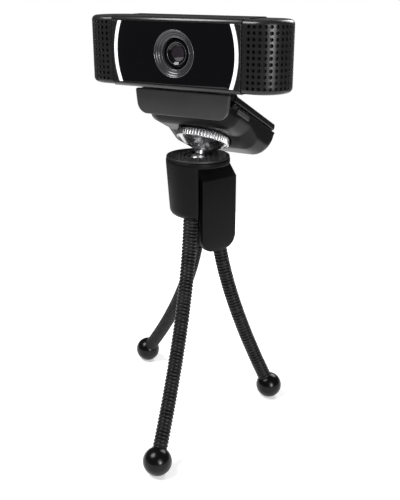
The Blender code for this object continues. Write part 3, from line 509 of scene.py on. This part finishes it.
def holderPieces(side):
    # a plate whose top leans inwards on a straight slope, with a round boss and two hinge cheeks behind it
    out, along, hinge = holderLines(side)
    co = nodePoints("holder_" + side)
    bottom, top = co[:, 2].min(), co[:, 2].max()
    far, s = co @ out, co @ along
    onFace = s[(far > far.max() - 0.05) & (co[:, 2] > bottom + 5)]
    face, first, last = far.max(), onFace.min(), onFace.max()
    corner = min(holderShape["corner"], (last - first) / 2 - 0.5)
    slopeStart = top - holderShape["slopeDrop"]
    turn = np.linspace(math.pi / 2, 0, 12)
    heights = np.concatenate([bottom + corner * (1 - np.sin(turn))[:-1],
                              np.linspace(bottom + corner, slopeStart - 0.5, 24),
                              slopeStart + np.array((-0.25, 0, 0.25)),
                              np.linspace(slopeStart + 0.5, top - 0.4, 9), [top - 0.1, top]])
    thick, rows = holderShape["plateThick"], []
    for z in heights:
        drop = max(0.0, bottom + corner - z)
        indent = corner - math.sqrt(max(0.0, corner ** 2 - drop ** 2))
        pull = max(0.0, 0.5 - (z - bottom)) * 0.6 + (0.35 if z == top else 0.1 if z > top - 0.2 else 0.0)
        lean = holderShape["slopeOut"] * max(0.0, z - slopeStart) / holderShape["slopeDrop"]
        centre = (face - thick / 2 - lean, (first + last) / 2)
        section = roundedOutline(thick / 2 - pull, (last - first) / 2 - indent - pull, 0.45, centre, 5)
        rows.append(np.column_stack([section, np.full(len(section), z)]))
    points, faces, caps = loft(rows)
    axes = (out, along, up)
    body = side + "_holder"
    addPiece(side + "_holder_plate", placed(points, (0, 0, 0), axes), faces, headPlastic, body, ("holder_" + side,),
             caps, 32)
    # boss: a round sleeve about the leg's start; web: a slab from the boss to the plate
    start = legCurve(side)[0]
    r, e, bossTop = holderShape["bossRadius"], holderShape["bossEdge"], holderShape["bossTop"]
    profile = np.concatenate([[(0.0, bottom + 0.4)], arcPoints((r - e, bottom + 0.4 + e), e, -90, 0, 6),
                              [(r, bossTop), (0.0, bossTop + 1.2)]])
    points, faces = turnedSurface(profile, 48)
    addPiece(side + "_holder_boss", placed(points, (start[0], start[1], 0)), faces, headPlastic, body, ())
    web = roundedOutline(holderShape["webHalf"], (bossTop - bottom - 6) / 2, 1.2)
    reach = face - 1.0 - start @ out
    points, faces, caps = slab(web, 0, max(reach, 1.0), 0.2)
    local = axisOrder(points, "yzx")
    origin = (start[0], start[1], (bossTop + bottom) / 2 - 0.5)
    addPiece(side + "_holder_web", placed(local, origin, axes), faces, headPlastic, body, (), caps)
    # cheeks: a half round about the pin, carried out to the plate
    cheekEnd, k = pinHalf(side, along) - 0.15, holderShape["knuckle"]
    for end in (-1, 1):
        outline = np.concatenate([arcPoints((0, 0), k, 90, 270, 14), [(face - hinge @ out - 1.6, -k), (1.2, k)]])
        points, faces, caps = slab(outline, *sorted((end * cheekEnd, end * cheekEnd * 0.48)), 0.2)
        name = side + ("_cheek_near" if end < 0 else "_cheek_far")
        addPiece(name, placed(axisOrder(points, "xzy"), hinge, axes), faces, headPlastic, body, (), caps)


for side in ("right", "rear"):
    holderPieces(side)
print("holders done")

wheel = {"rim": 3.6, "bore": 3.35, "foot": 4.0, "knurls": 52, "samples": 10, "knurlDeep": 0.7, "ribs": 6,
         "ribHigh": 0.8, "ribWide": 0.075}


def wheelPiece():
    # a knurled rim over a hollow-sided cone; narrow ribs stand out of the cone between rim and foot
    co = (nodePoints("thumb_wheel") - ballCentre) @ tilted.T
    low, high = co[:, 2].min(), co[:, 2].max()
    radius = np.hypot(co[:, 0], co[:, 1]).max()
    rimLow = high - wheel["rim"]
    edge = np.array([(0.75, 0), (0.3, 0.12), (0.05, 0.4), (0, 0.6)])       # inwards and upwards at the rim's edge
    rim = np.concatenate([(radius, rimLow) + edge * (-1, 1), (radius, high) - edge[::-1]])
    t = np.linspace(0, 1, 16)
    bore, footR = wheel["bore"], wheel["foot"]
    cone = np.column_stack([footR + (radius - footR - 0.8) * t ** 1.1, low + 0.9 + (rimLow - low - 0.4) * t ** 1.25])
    foot = [(bore, low), (footR - 0.4, low), (footR - 0.2, low + 0.25), (footR - 0.1, low + 0.7)]
    profile = np.concatenate([foot, cone, rim, [(bore, high), (bore, low)]])
    onRim = (np.arange(len(profile)) >= len(foot) + len(cone)) & (profile[:, 0] > radius - 0.5)
    coneShare = np.zeros(len(profile))
    coneShare[len(foot):len(foot) + len(cone)] = np.sin(math.pi * np.clip(t * 0.92 + 0.04, 0, 1)) ** 0.35
    knurls, ribs = wheel["knurls"], wheel["ribs"]

    def ripple(angle, row):
        tooth = np.abs(np.sin(knurls * angle / 2)) ** 0.7
        wrap = (angle * ribs / tau + 0.5) % 1 - 0.5
        rib = np.exp(-(wrap / wheel["ribWide"]) ** 4)
        return -wheel["knurlDeep"] * (1 - tooth) * onRim[row] + wheel["ribHigh"] * rib * coneShare[row]

    points, faces = turnedSurface(profile, knurls * wheel["samples"], ripple)
    addPiece("knurled_wheel", placed(points, ballCentre, tilted), faces, brightMetal, "wheel", ("thumb_wheel",), (),
             30)


stud = {"neck": 2.1, "shoulder": 2.7, "threadFrom": 7.0, "threadRadius": 2.88, "threadDeep": 0.12, "threadPitch": 1.27,
        "collarHole": 4.35}


def studPieces():
    # the ball is a full turned arc; the neck and screw follow it up the tilted line
    co = (nodePoints("ball_stud") - ballCentre) @ tilted.T
    top, radius = co[:, 2].max(), -co[:, 2].min()
    turn = np.linspace(math.pi, math.asin(stud["neck"] / radius), 30)
    ball = np.column_stack([radius * np.sin(turn), radius * np.cos(turn)])
    ball[0, 0] = 0.0
    first, wide = stud["threadFrom"], stud["shoulder"]
    thread = np.arange(first, top - 0.3, 0.16)
    wave = stud["threadDeep"] * np.cos(tau * thread / stud["threadPitch"])
    screw = np.column_stack([stud["threadRadius"] + wave, thread])
    profile = np.concatenate([ball, [(stud["neck"], first - 0.4), (wide, first - 0.1)], screw,
                              [(wide - 0.1, top), (0.0, top)]])
    points, faces = turnedSurface(profile, 48)
    addPiece("stud_and_ball", placed(points, ballCentre, tilted), faces, brightMetal, "stud", ("ball_stud",))
    low, high = nodeBox("ball_collar")
    outer, inner, foot, top = (high[0] - low[0]) / 2, stud["collarHole"], low[2], high[2]
    profile = [(inner, foot), (outer, foot), (outer, top - 0.3), (outer - 0.1, top - 0.1), (outer - 0.3, top),
               (inner + 0.5, top), (inner, top - 0.5), (inner, foot)]
    points, faces = turnedSurface(profile, 64)
    addPiece("socket_collar", placed(points, headAxis), faces, brightMetal, "pan_collar", ("ball_collar",))


wheelPiece()
studPieces()
print("stud and wheel done")

clip = {"baseGap": 0.3, "sideRound": 7.0, "rearRound": 6.5, "rearDrop": 3.3, "wheelRoom": 0.7, "frontRise": 4.5,
        "half": 22.5, "top": 22.9, "baseHalf": 15.5, "front": -19.8, "back": 25.8, "edge": 0.8, "pocket": 9.0,
        "armThick": 3.0, "slot": 0.4, "wheelRadius": 12.2, "lugRadius": 2.0, "lugSpan": (9.0, 15.0), "tabHalf": 5.6,
        "flapCorner": 4.5, "flapTaper": 1.3, "flapThick": 2.0, "bridgeGap": (7.5, 14.5)}


def clipLegPiece():
    # sections across the leg, each a flat top over a base with round sides; the base lifts at the front and curls up
    # on a quarter circle at the rear, and the front is pressed in as a pocket
    base = ((nodePoints("thumb_wheel") - ballCentre) @ studLine).max() + clip["baseGap"]
    front, back, top, bend, edge = clip["front"], clip["back"], clip["top"], clip["rearRound"], clip["edge"]
    reach, inward = clip["wheelRadius"] + clip["wheelRoom"], front + clip["pocket"]
    stations = np.concatenate([[inward, inward, front, front], front + np.array((0.15, 0.5, 1.2)),
                               np.linspace(front + 2.2, 0, 9), reach * np.sin(np.linspace(0.02, math.pi / 2, 16)),
                               [reach + 0.02], np.linspace(reach + 0.8, back - bend, 5),
                               back - bend * (1 - np.sin(np.linspace(0.08, math.pi / 2, 12)))])
    shrink = np.zeros(len(stations))
    shrink[:4] = (2.2, 1.6, 1.6, 0.5)
    shrink[4:7] = (0.25, 0.1, 0.0)
    middleX = np.linspace(clip["half"] - edge, -clip["half"] + edge, 24)[1:-1]
    rows = []
    for b, less in zip(stations, shrink):
        rise = clip["frontRise"] * np.clip((front + 6.0 - b) / 6.0, 0, 1)
        over = np.clip((b - back + bend) / bend, 0, 1)
        curl = (bend + 0.6) * (1 - math.sqrt(max(0.0, 1 - over ** 2)))
        fall = clip["rearDrop"] * np.clip(b / (clip["wheelRadius"] * 0.8), 0, 1)
        low = base + rise - fall + curl
        tall = top - low
        r = min(clip["sideRound"], tall * 0.75)
        side = arcPoints((clip["baseHalf"], low + r), r, -90, 0, 12)
        corner = arcPoints((clip["half"] - edge, top - edge), edge, 0, 90, 5)
        topLine = np.column_stack([middleX, np.full(len(middleX), top)])
        room = math.sqrt(max(reach ** 2 - b ** 2, 0.01)) if b > 0 else reach
        inner = base + rise if b <= reach else low
        outerX = np.linspace(-clip["baseHalf"], -room, 5)[1:]
        innerX = np.linspace(-room, room, 10)
        bottomLine = np.column_stack([np.concatenate([outerX, innerX, -outerX[::-1]]),
                                      np.concatenate([np.full(4, low), np.full(10, inner), np.full(4, low)])])
        half = np.concatenate([side, corner])
        section = np.concatenate([half, topLine, half[::-1] * (-1, 1), bottomLine])
        centre = np.array((0, (low + top) / 2))
        if less:
            section = centre + (section - centre) * (1 - less / np.array((clip["half"], tall / 2)))
        rows.append(np.column_stack([section[:, 0], np.full(len(section), b), section[:, 1]]))
    points, faces, caps = loft(rows)
    addPiece("clip_lower_leg", placed(points, ballCentre, tilted), faces, satinPlastic, "clip_lower", ("clip_leg",),
             caps, 40)
    # the tabs take the lighter flap plastic: a painted highlight along the leg's side
    for sign, name in ((-1, "clip_tab_left_painted_highlight"), (1, "clip_tab_right_painted_highlight")):
        outline = roundedOutline(clip["tabHalf"], 1.0, 0.6, (-9.5, top - 2.4))
        points, faces, caps = slab(outline, clip["half"] - 1.0, clip["half"] + 0.35, 0.3)
        local = np.column_stack([points[:, 2] * sign, points[:, 0], points[:, 1]])
        addPiece(name, placed(local, ballCentre, tilted), faces, flapPlastic, "clip_lower", (), caps)
    pinPlace, r = jointPlace("clip_open"), clip["lugRadius"]
    for sign, name in ((-1, "clip_lug_left"), (1, "clip_lug_right")):
        outline = np.concatenate([arcPoints((0, 0), r, 0, 180, 14), [(-r, -3.4), (r - 0.6, -3.4)]])
        points, faces, caps = slab(outline, *sorted(sign * end for end in clip["lugSpan"]), 0.25)
        addPiece(name, placed(axisOrder(points, "yzx"), pinPlace, tilted), faces, satinPlastic, "clip_lower", (),
                 caps)


def clipArmPieces():
    # the arm is a flat slab with round edges and two notches behind; the flap is a slab whose sides lean in
    low = clip["top"] + clip["slot"]
    pinB = (jointPlace("clip_open") - ballCentre) @ backLine
    back, notch = pinB + clip["armThick"] / 2, pinB - 2.7
    h, f, r = clip["half"], clip["front"] + 0.3, 2.0
    inner, outer = clip["lugSpan"][0] - 0.3, clip["lugSpan"][1] + 0.3
    rear = [(outer, back), (outer, notch), (inner, notch), (inner, back)]
    outline = np.concatenate([arcPoints((h - r, back - r), r, 0, 90, 8), rear, [(-x, y) for x, y in rear[::-1]],
                              arcPoints((-h + r, back - r), r, 90, 180, 8), [(-h, f), (h, f)]])
    points, faces, caps = slab(outline, low, low + clip["armThick"], 0.9, 5)
    addPiece("clip_top_arm", placed(points, ballCentre, tilted), faces, satinPlastic, "clip_upper", ("clip_arm",),
             caps, 32)
    # flap: its lower edge is read from the arm's foremost points, the rest from the arm's box
    corners = nodePoints("clip_arm")
    armLow, armHigh = corners.min(0), corners.max(0)
    armLow[2] = corners[corners[:, 1] < armLow[1] + 1.9, 2].min()
    flapHalf, centreX, tall = (armHigh[0] - armLow[0]) / 2, (armHigh[0] + armLow[0]) / 2, armHigh[2] - armLow[2]
    c, t = clip["flapCorner"], 1.0
    edge = np.linspace(tall - t - 0.8, c + 0.6, 12)
    outline = np.concatenate([arcPoints((flapHalf - t, tall - t), t, 0, 90, 5),
                              arcPoints((-flapHalf + t, tall - t), t, 90, 180, 5),
                              np.column_stack([np.full(12, -flapHalf), edge]),
                              arcPoints((-flapHalf + c, c), c, 180, 270, 12),
                              arcPoints((flapHalf - c, c), c, 270, 360, 12),
                              np.column_stack([np.full(12, flapHalf), edge[::-1]])])
    points, faces, caps = slab(outline, 0, clip["flapThick"], 0.55, 5)
    lean = 1 - clip["flapTaper"] / flapHalf * (1 - points[:, 1] / tall)
    local = np.column_stack([points[:, 0] * lean, points[:, 2], points[:, 1]])
    addPiece("clip_front_flap", placed(local, (centreX, armLow[1], armLow[2])), faces, flapPlastic, "clip_upper", (),
             caps, 32)
    # bridge: fills the wedge between flap and arm, in three parts beside the webcam's lugs
    y, z = armLow[1] + 1.2 - headAxis[1], armHigh[2] - 0.2
    under = [ballCentre[2] + (low + 0.05 - place * studLine[1]) / studLine[2] for place in (y, -4.6)]
    bridge = np.array([(-4.6, under[1]), (-3.2, z - 3.7), (-6.5, z), (y, z), (y, under[0])])
    points, faces, caps = slab(bridge, -h + 0.3, h - 0.3, 0.15)
    local = axisOrder(points, "yzx")
    gapNear, gapFar, end = clip["bridgeGap"][0], clip["bridgeGap"][1], h - 0.3
    for first, last, name in ((-end, -gapFar, "arm_bridge_left"), (-gapNear, gapNear, "arm_bridge_middle"),
                              (gapFar, end, "arm_bridge_right")):
        part = local.copy()
        part[:, 0] = first + (local[:, 0] - local[:, 0].min()) / np.ptp(local[:, 0]) * (last - first)
        addPiece(name, placed(part, headAxis), faces, satinPlastic, "clip_upper", (), caps)


clipLegPiece()
clipArmPieces()
print("clip done")

case = {"seam": -4.0, "gap": 0.3, "edge": 2.0, "wall": 1.6, "split": 30.9, "grilleStep": 0.35, "lugRadius": 2.2,
        "lugSpan": (8.0, 14.0), "windowHalf": 25.6, "windowTall": 12.5, "windowBulge": 34.0, "windowThick": 1.1,
        "holeRadius": 9.6, "guideWide": 1.5}


def straightPiece(name, section, first, last, material, body, replaced=()):
    # a closed y-z section carried straight along x, with a small round at both ends
    points, faces, caps = slab(np.asarray(section, float), first, last, 0.12, 2)
    addPiece(name, placed(axisOrder(points, "yzx"), caseCentre), faces, material, body, replaced, caps, 35)


def casePieces():
    # rails above and below the glass and the rear half, each a wall section with quarter-round outer edges
    half, tall, e, w = caseHalf[1], caseHalf[2], case["edge"], case["wall"]
    seam, g, split = case["seam"], case["gap"] / 2, case["split"] - case["gap"] / 2
    opening, inside = case["windowTall"] + 0.15, -half + w + 1.4
    for sign, name in ((1, "rail_above_glass"), (-1, "rail_below_glass")):
        bend = arcPoints((-half + e, tall - e), e, 90, 180, 12)
        bend = bend[bend[:, 1] >= opening]
        section = np.concatenate([[(seam - g, tall)], bend, [(bend[-1, 0] + 0.05, opening), (inside, opening),
                                                             (inside, tall - w), (seam - g, tall - w)]])
        straightPiece(name, section * (1, sign), -split, split, bezelPlastic, "camera", ("front_frame",))
    top = arcPoints((half - e, tall - e), e, 90, 0, 12)
    low = arcPoints((half - e, -tall + e), e, 0, -90, 12)
    inTop = arcPoints((half - e, tall - e), e - w, 90, 0, 6)
    inLow = arcPoints((half - e, -tall + e), e - w, 0, -90, 6)
    section = np.concatenate([[(seam + g, tall)], top, low, [(seam + g, -tall), (seam + g, -tall + w)], inLow[::-1],
                              inTop[::-1], [(seam + g, tall - w)]])
    straightPiece("rear_half", section, -split, split, satinPlastic, "camera", ("rear_shell",))
    pin, r = jointPlace("camera_tilt") - caseCentre, case["lugRadius"]
    lug = np.concatenate([arcPoints(pin[1:], r, 180, 360, 14), [(pin[1] + r, -tall + 0.8), (pin[1] - r, -tall + 0.8)]])
    for sign, name in ((-1, "case_lug_left"), (1, "case_lug_right")):
        straightPiece(name, lug, *sorted(sign * end for end in case["lugSpan"]), satinPlastic, "camera")
    # strips outside the light arcs, and the arcs themselves
    z = np.linspace(-case["windowTall"], case["windowTall"], 41)
    for sign, word in ((-1, "left"), (1, "right")):
        inner = windowEdge(z, case["guideWide"] + case["gap"] + 0.12)
        outline = np.concatenate([np.column_stack([sign * inner, z]),
                                  [(sign * split, z[-1] + 0.1), (sign * split, z[0] - 0.1)]])
        points, faces, caps = slab(outline, -half, -half + 1.6, 0.15)
        addPiece("side_strip_" + word, placed(axisOrder(points, "xzy"), caseCentre), faces, bezelPlastic, "camera",
                 (), caps)
        guide = [np.column_stack([sign * windowEdge(z, case["gap"] * 0.5), z]),
                 np.column_stack([sign * windowEdge(z, case["guideWide"] + case["gap"] * 0.5), z])[::-1]]
        points, faces, caps = slab(np.concatenate(guide), -half - 0.06, -half + 1.5, 0.3)
        addPiece("light_arc_" + word, placed(axisOrder(points, "xzy"), caseCentre), faces, whiteGuide, "camera",
                 ("light_guide_" + word,), caps)


def windowEdge(z, away):
    # half width of the glass at each height: a shallow arc that bulges in the middle, moved outwards
    centre = case["windowHalf"] - math.sqrt(case["windowBulge"] ** 2 - case["windowTall"] ** 2)
    return centre + np.sqrt((case["windowBulge"] + away) ** 2 - z ** 2)


def windowPiece():
    # glass with a round hole: rings run from the hole's edge to the outline, front and back
    z = np.linspace(-case["windowTall"], case["windowTall"], 61)
    x = np.linspace(-case["windowHalf"], case["windowHalf"], 90)[1:-1]
    outline = np.concatenate([np.column_stack([windowEdge(z, 0), z]), np.column_stack([x[::-1], np.full(88, z[-1])]),
                              np.column_stack([-windowEdge(z, 0), z])[::-1], np.column_stack([x, np.full(88, z[0])])])
    hole = outline / np.linalg.norm(outline, axis=1)[:, None] * case["holeRadius"]
    front, back, b = -caseHalf[1] + 0.02, -caseHalf[1] + 0.1 + case["windowThick"], 0.22
    rings = []
    for share, level in ((0, back), (0, front + b), (b * 0.3, front + b * 0.3), (b, front)):
        rings.append(np.column_stack([hole * (1 + share / case["holeRadius"]), np.full(len(hole), level)]))
    for share in (0.2, 0.6):
        rings.append(np.column_stack([hole * (1 - share) + inset(outline, b) * share, np.full(len(hole), front)]))
    for inward, level in ((b, front), (b * 0.3, front + b * 0.3), (0, front + b), (0, back)):
        rings.append(np.column_stack([inset(outline, inward), np.full(len(hole), level)]))
    points = axisOrder(np.concatenate(rings), "xzy")
    addPiece("dark_window", placed(points, caseCentre), gridFaces(len(rings), len(outline), True, True), glossBlack,
             "camera", ("front_window",), (), 30)


casePieces()
windowPiece()
print("case done")

grille = {"pitch": 2.35, "rows": 11, "columns": 18, "hole": 0.70, "around": 16, "wall": 1.0,
          "clothGap": 0.35, "clothSteps": 40}


def endSurface(u, v, depth, sign):
    # a stadium's end: u runs round it from the front seam, v runs over its quarter-round edges to the middle line
    half, tall, e = caseHalf[1] - case["grilleStep"], caseHalf[2] - case["grilleStep"], case["edge"]
    start = case["split"] + case["gap"] / 2
    centre = caseHalf[0] - half
    side = np.sign(v)
    v = np.abs(v)
    flat = tall - e
    turn = np.clip((v - flat) / e, 0, math.pi / 2)
    over = np.clip(v - flat - e * math.pi / 2, 0, None)
    away = (e - depth) * np.cos(turn) + (half - e) - over
    z = side * (np.minimum(v, flat) + (e - depth) * np.sin(turn))
    away = np.maximum(away, 0)
    run = centre - start
    angle = np.clip((u - run) / half, 0, math.pi)
    lead = np.clip(u, 0, run)
    tail = np.clip(u - run - math.pi * half, 0, run)
    x = start + lead - tail + away * np.sin(angle)
    y = -away * np.cos(angle)
    return np.stack([sign * x, y, z], -1)


def endSheet(us, vs, depth, sign):
    # one sheet of the end surface at a constant depth, kept below the same depth on top and underneath
    u, v = np.meshgrid(us, vs, indexing="ij")
    sheet = endSurface(u, v, np.full(u.shape, depth), sign).reshape(-1, 3)
    tall = caseHalf[2] - case["grilleStep"] - depth
    if depth:
        sheet[:, 2] = np.clip(sheet[:, 2], -tall, tall)
    return sheet


def grillePiece(sign, word):
    # a sheet of square cells, each with a round hole through it, bordered by plain sheet on all sides
    half, tall, e = caseHalf[1] - case["grilleStep"], caseHalf[2] - case["grilleStep"], case["edge"]
    run = caseHalf[0] - half - case["split"] - case["gap"] / 2
    long = 2 * run + math.pi * half
    rim = tall - e + e * math.pi / 2
    reach = rim + half - e
    p, rows, columns, n = grille["pitch"], grille["rows"], grille["columns"], grille["around"]
    # one cell: n evenly spaced points on the square's edge and the circle's points in line with them
    edge = np.linspace(-1, 1, n // 4, endpoint=False)
    one = np.ones(n // 4)
    square = np.concatenate([np.stack(pair, 1) for pair in ((one, edge), (-edge, one), (-one, -edge), (edge, -one))])
    circle = square / np.linalg.norm(square, axis=1)[:, None] * grille["hole"]
    square = square * p / 2
    cu = (long - columns * p) / 2 + p * (np.arange(columns) + 0.5)
    cv = p * (np.arange(rows) - (rows - 1) / 2)
    centres = np.stack(np.meshgrid(cu, cv, indexing="ij"), -1).reshape(-1, 1, 2)
    # its five rings: outer square, wide circle, circle a little deeper, circle and square on the inside
    wall = grille["wall"]
    rings = np.stack([square, circle * 1.12, circle, circle, square])[None] + centres[:, None]
    depth = np.array([0.0, 0.0, 0.12, wall, wall])[None, :, None] * np.ones(rings.shape[:-1])
    points = endSurface(rings[..., 0], rings[..., 1], depth, sign).reshape(-1, 3)
    base = gridFaces(5, n, closeColumns=True)
    faces = (base[None] + (np.arange(len(centres)) * 5 * n)[:, None, None]).reshape(-1, 4)
    # plain border: grids of sheet around the cells, outside and inside, with the same steps along shared edges
    stepsU = np.concatenate([[0.0], np.linspace(cu[0] - p / 2, cu[-1] + p / 2, columns * 4 + 1), [long]])
    stepsV = np.linspace(cv[0] - p / 2, cv[-1] + p / 2, rows * 4 + 1)
    topV = np.concatenate([np.linspace(stepsV[-1], rim, 7), np.linspace(rim, reach, 7)[1:]])
    for us, vs in ((stepsU, topV), (stepsU, -topV), (stepsU[:2], stepsV), (stepsU[-2:], stepsV)):
        for d in (0.0, wall):
            faces = np.concatenate([faces, gridFaces(len(us), len(vs)) + len(points)])
            points = np.concatenate([points, endSheet(us, vs, d, sign)])
    # close the sheet at the seam: outside edge to inside edge, front and back
    seamV = np.concatenate([-topV[::-1], stepsV[1:-1], topV])
    for u in (0.0, long):
        faces = np.concatenate([faces, gridFaces(2, len(seamV)) + len(points)])
        points = np.concatenate([points] + [endSheet([u], seamV, d, sign) for d in (0.0, wall)])
    addPiece("perforated_end_" + word, placed(points, caseCentre), faces, grillePlastic, "camera",
             ("grille_" + word,), (), 40)
    # dark block behind the holes
    n = grille["clothSteps"]
    block = endSheet(np.linspace(0, long, n), np.linspace(-reach, reach, n), wall + grille["clothGap"], sign)
    ends = [np.concatenate([np.arange(n), np.arange(n)[::-1] + (n - 1) * n])]
    addPiece("grille_cloth_" + word, placed(block, caseCentre), gridFaces(n, n), clothBlack, "camera", (), ends)


grillePiece(-1, "left")
grillePiece(1, "right")
print("grilles done")

lens = {"outer": 9.5, "inner": 6.7, "coneDeep": 1.5, "stepHigh": 0.14, "shellBack": -5.5, "barrel": 5.5,
        "barrelFront": -2.5, "barrelBack": -9.0, "dome": 3.2, "domeHigh": 0.75, "domeFoot": -3.45,
        "wideSides": 128, "barrelSides": 96}


def facing(points):
    # turns a surface spun about z so that its top looks towards -y from the case's front
    return placed(np.column_stack([points[:, 0], -points[:, 2] - caseHalf[1], points[:, 1]]), caseCentre)


def lightRing(name, radius, level, thick, body, sides):
    # a thin bright hoop: a small circle turned about the lens axis
    turn = np.linspace(0, tau, 13)
    points, faces = turnedSurface(np.column_stack([radius + thick * np.cos(turn), level + thick * np.sin(turn)]), sides)
    addPiece(name, facing(points), faces, ringLight, body, ())


def lensPieces():
    # turned rings: heights are measured outwards from the glass's front
    outer, inner, deep, back = lens["outer"], lens["inner"], lens["coneDeep"], lens["shellBack"]
    step = np.linspace(0, 1, 13)
    cone = np.column_stack([outer + (inner - outer) * step, -0.25 - (deep - 0.25) * step])
    cone[[4, 8], 1] -= lens["stepHigh"]
    profile = np.concatenate([[(outer, back), (outer, -0.3)], cone, [(inner - 0.08, -deep - 0.2), (inner - 0.08, back),
                                                                    (outer, back)]])
    points, faces = turnedSurface(profile, lens["wideSides"])
    addPiece("lens_cone", facing(points), faces, ringGrey, "camera", ("lens_housing",), (), 25)
    lightRing("ring_outer", outer - 0.05, -0.22, 0.13, "camera", lens["wideSides"])
    lightRing("ring_inner", inner - 0.1, -deep - 0.02, 0.12, "camera", lens["wideSides"])
    r, d, front, foot = lens["barrel"], lens["dome"], lens["barrelFront"], lens["barrelBack"]
    profile = [(d + 0.1, foot), (r, foot), (r, front - 0.25), (r - 0.25, front), (d + 1.35, front),
               (d + 1.2, front - 0.1), (d + 0.35, front - 0.8), (d + 0.1, front - 0.9), (d + 0.1, foot)]
    points, faces = turnedSurface(profile, lens["barrelSides"])
    addPiece("barrel_rings", facing(points), faces, glossBlack, "lens", ("lens_barrel",), (), 25)
    lightRing("ring_barrel", d + 1.3, front, 0.09, "lens", lens["barrelSides"])
    # dome: a ball's cap through the edge at dome and the height domeHigh
    high = lens["domeHigh"]
    ballR = (d ** 2 + high ** 2) / 2 / high
    turn = np.linspace(math.asin(d / ballR), 0, 18)
    dome = np.column_stack([ballR * np.sin(turn), lens["domeFoot"] + high - ballR * (1 - np.cos(turn))])
    points, faces = turnedSurface(np.concatenate([[(0.0, back - 0.1), (d, back - 0.1)], dome]), 64)
    addPiece("lens_dome", facing(points), faces, lensCoating, "lens", ("lens_glass",))


lensPieces()
print("lens done")

# CAD solids that stay as they are, with their materials
kept = {"hinge_pin_right": brightMetal, "hinge_pin_rear": brightMetal, "clip_hinge_pin": brightMetal,
        "camera_hinge_pin": brightMetal, "thread_insert": brightMetal, "leg_pad": padRubber, "flap_pad": padRubber,
        "cable_gland": softRubber, "circuit_board": boardMask, "image_sensor": glossBlack,
        "microphone_left": brightMetal, "microphone_right": brightMetal}
for name, material in kept.items():
    solid = frame["nodes"][name]
    solid.data.materials.clear()
    solid.data.materials.append(material)
print("solids dressed")

stageSet = {"floorRadius": 0.34, "floorGrey": 0.92, "floorGlow": 0.3, "seenWorld": 1.0, "unseenWorld": 0.12,
            # each lamp: its place, what it looks at, its size in metres and its power in watts
            "lamps": {"side strip": ((0.62, -0.42, 0.22), (0.02, 0, 0.16), 0.22, 3.0),
                      "key": ((-0.35, -0.35, 0.85), (0, 0, 0.12), 0.5, 9.0),
                      "fill": ((0.7, -0.5, 0.45), (0, 0, 0.1), 0.5, 3.0),
                      "back": ((0.1, 0.75, 0.6), (0, 0, 0.13), 0.5, 5.0)}}
viewSet = {"place": (166.8, -287.1, 202.55), "lean": 70, "turn": 30, "sensor": 36.0, "focal": 67.5}


def areaLight(name, place, aim, size, power):
    # a round lamp turned so that its face looks from its place at its aim
    data = bpy.data.lights.new(name, "AREA")
    data.shape, data.size, data.energy = "DISK", size, power
    lamp = bpy.data.objects.new(name, data)
    bpy.context.scene.collection.objects.link(lamp)
    lamp.location = place
    way = np.array(aim) - np.array(place)
    lamp.rotation_euler = (math.atan2(math.hypot(way[0], way[1]), -way[2]), 0, math.atan2(-way[0], way[1]))


def floorPiece():
    # a flat round sheet at z = 0
    turn, radius, grey = np.linspace(0, tau, 96, endpoint=False), stageSet["floorRadius"], stageSet["floorGrey"]
    mesh = bpy.data.meshes.new("floor")
    mesh.from_pydata([(radius * math.cos(t), radius * math.sin(t), 0.0) for t in turn], [], [tuple(range(len(turn)))])
    paper = bpy.data.materials.new("white paper")
    paper.use_nodes = True
    shader = paper.node_tree.nodes["Principled BSDF"]
    for socket, value in (("Base Color", (grey, grey, grey, 1)), ("Roughness", 0.9), ("Specular IOR Level", 0.0),
                          ("Emission Color", (1, 1, 1, 1)), ("Emission Strength", stageSet["floorGlow"])):
        shader.inputs[socket].default_value = value
    mesh.materials.append(paper)
    floor = bpy.data.objects.new("floor", mesh)
    bpy.context.scene.collection.objects.link(floor)


def worldPiece():
    # white where the camera sees it, dim where it lights the object
    world = bpy.data.worlds.new("studio")
    bpy.context.scene.world = world
    world.use_nodes = True
    nodes, links = world.node_tree.nodes, world.node_tree.links
    seen, unseen = nodes["Background"], nodes.new("ShaderNodeBackground")
    ray, both = nodes.new("ShaderNodeLightPath"), nodes.new("ShaderNodeMixShader")
    for background, strength in ((seen, stageSet["seenWorld"]), (unseen, stageSet["unseenWorld"])):
        background.inputs["Color"].default_value = (1, 1, 1, 1)
        background.inputs["Strength"].default_value = strength
    links.new(ray.outputs["Is Camera Ray"], both.inputs[0])
    links.new(unseen.outputs[0], both.inputs[1])
    links.new(seen.outputs[0], both.inputs[2])
    links.new(both.outputs[0], nodes["World Output"].inputs["Surface"])


def cameraPiece():
    # placed in millimetres from the head's axis, leant and turned in degrees
    data = bpy.data.cameras.new("view")
    data.sensor_fit, data.sensor_width, data.lens = "HORIZONTAL", viewSet["sensor"], viewSet["focal"]
    data.clip_start, data.clip_end = 0.01, 20
    seen = bpy.data.objects.new("view", data)
    bpy.context.scene.collection.objects.link(seen)
    seen.location = (headAxis + viewSet["place"]) * mm
    seen.rotation_euler = (math.radians(viewSet["lean"]), 0, math.radians(viewSet["turn"]))
    bpy.context.scene.camera = seen


floorPiece()
for name, values in stageSet["lamps"].items():
    areaLight(name, *values)
worldPiece()
cameraPiece()
bpy.context.scene.view_settings.view_transform = "Standard"
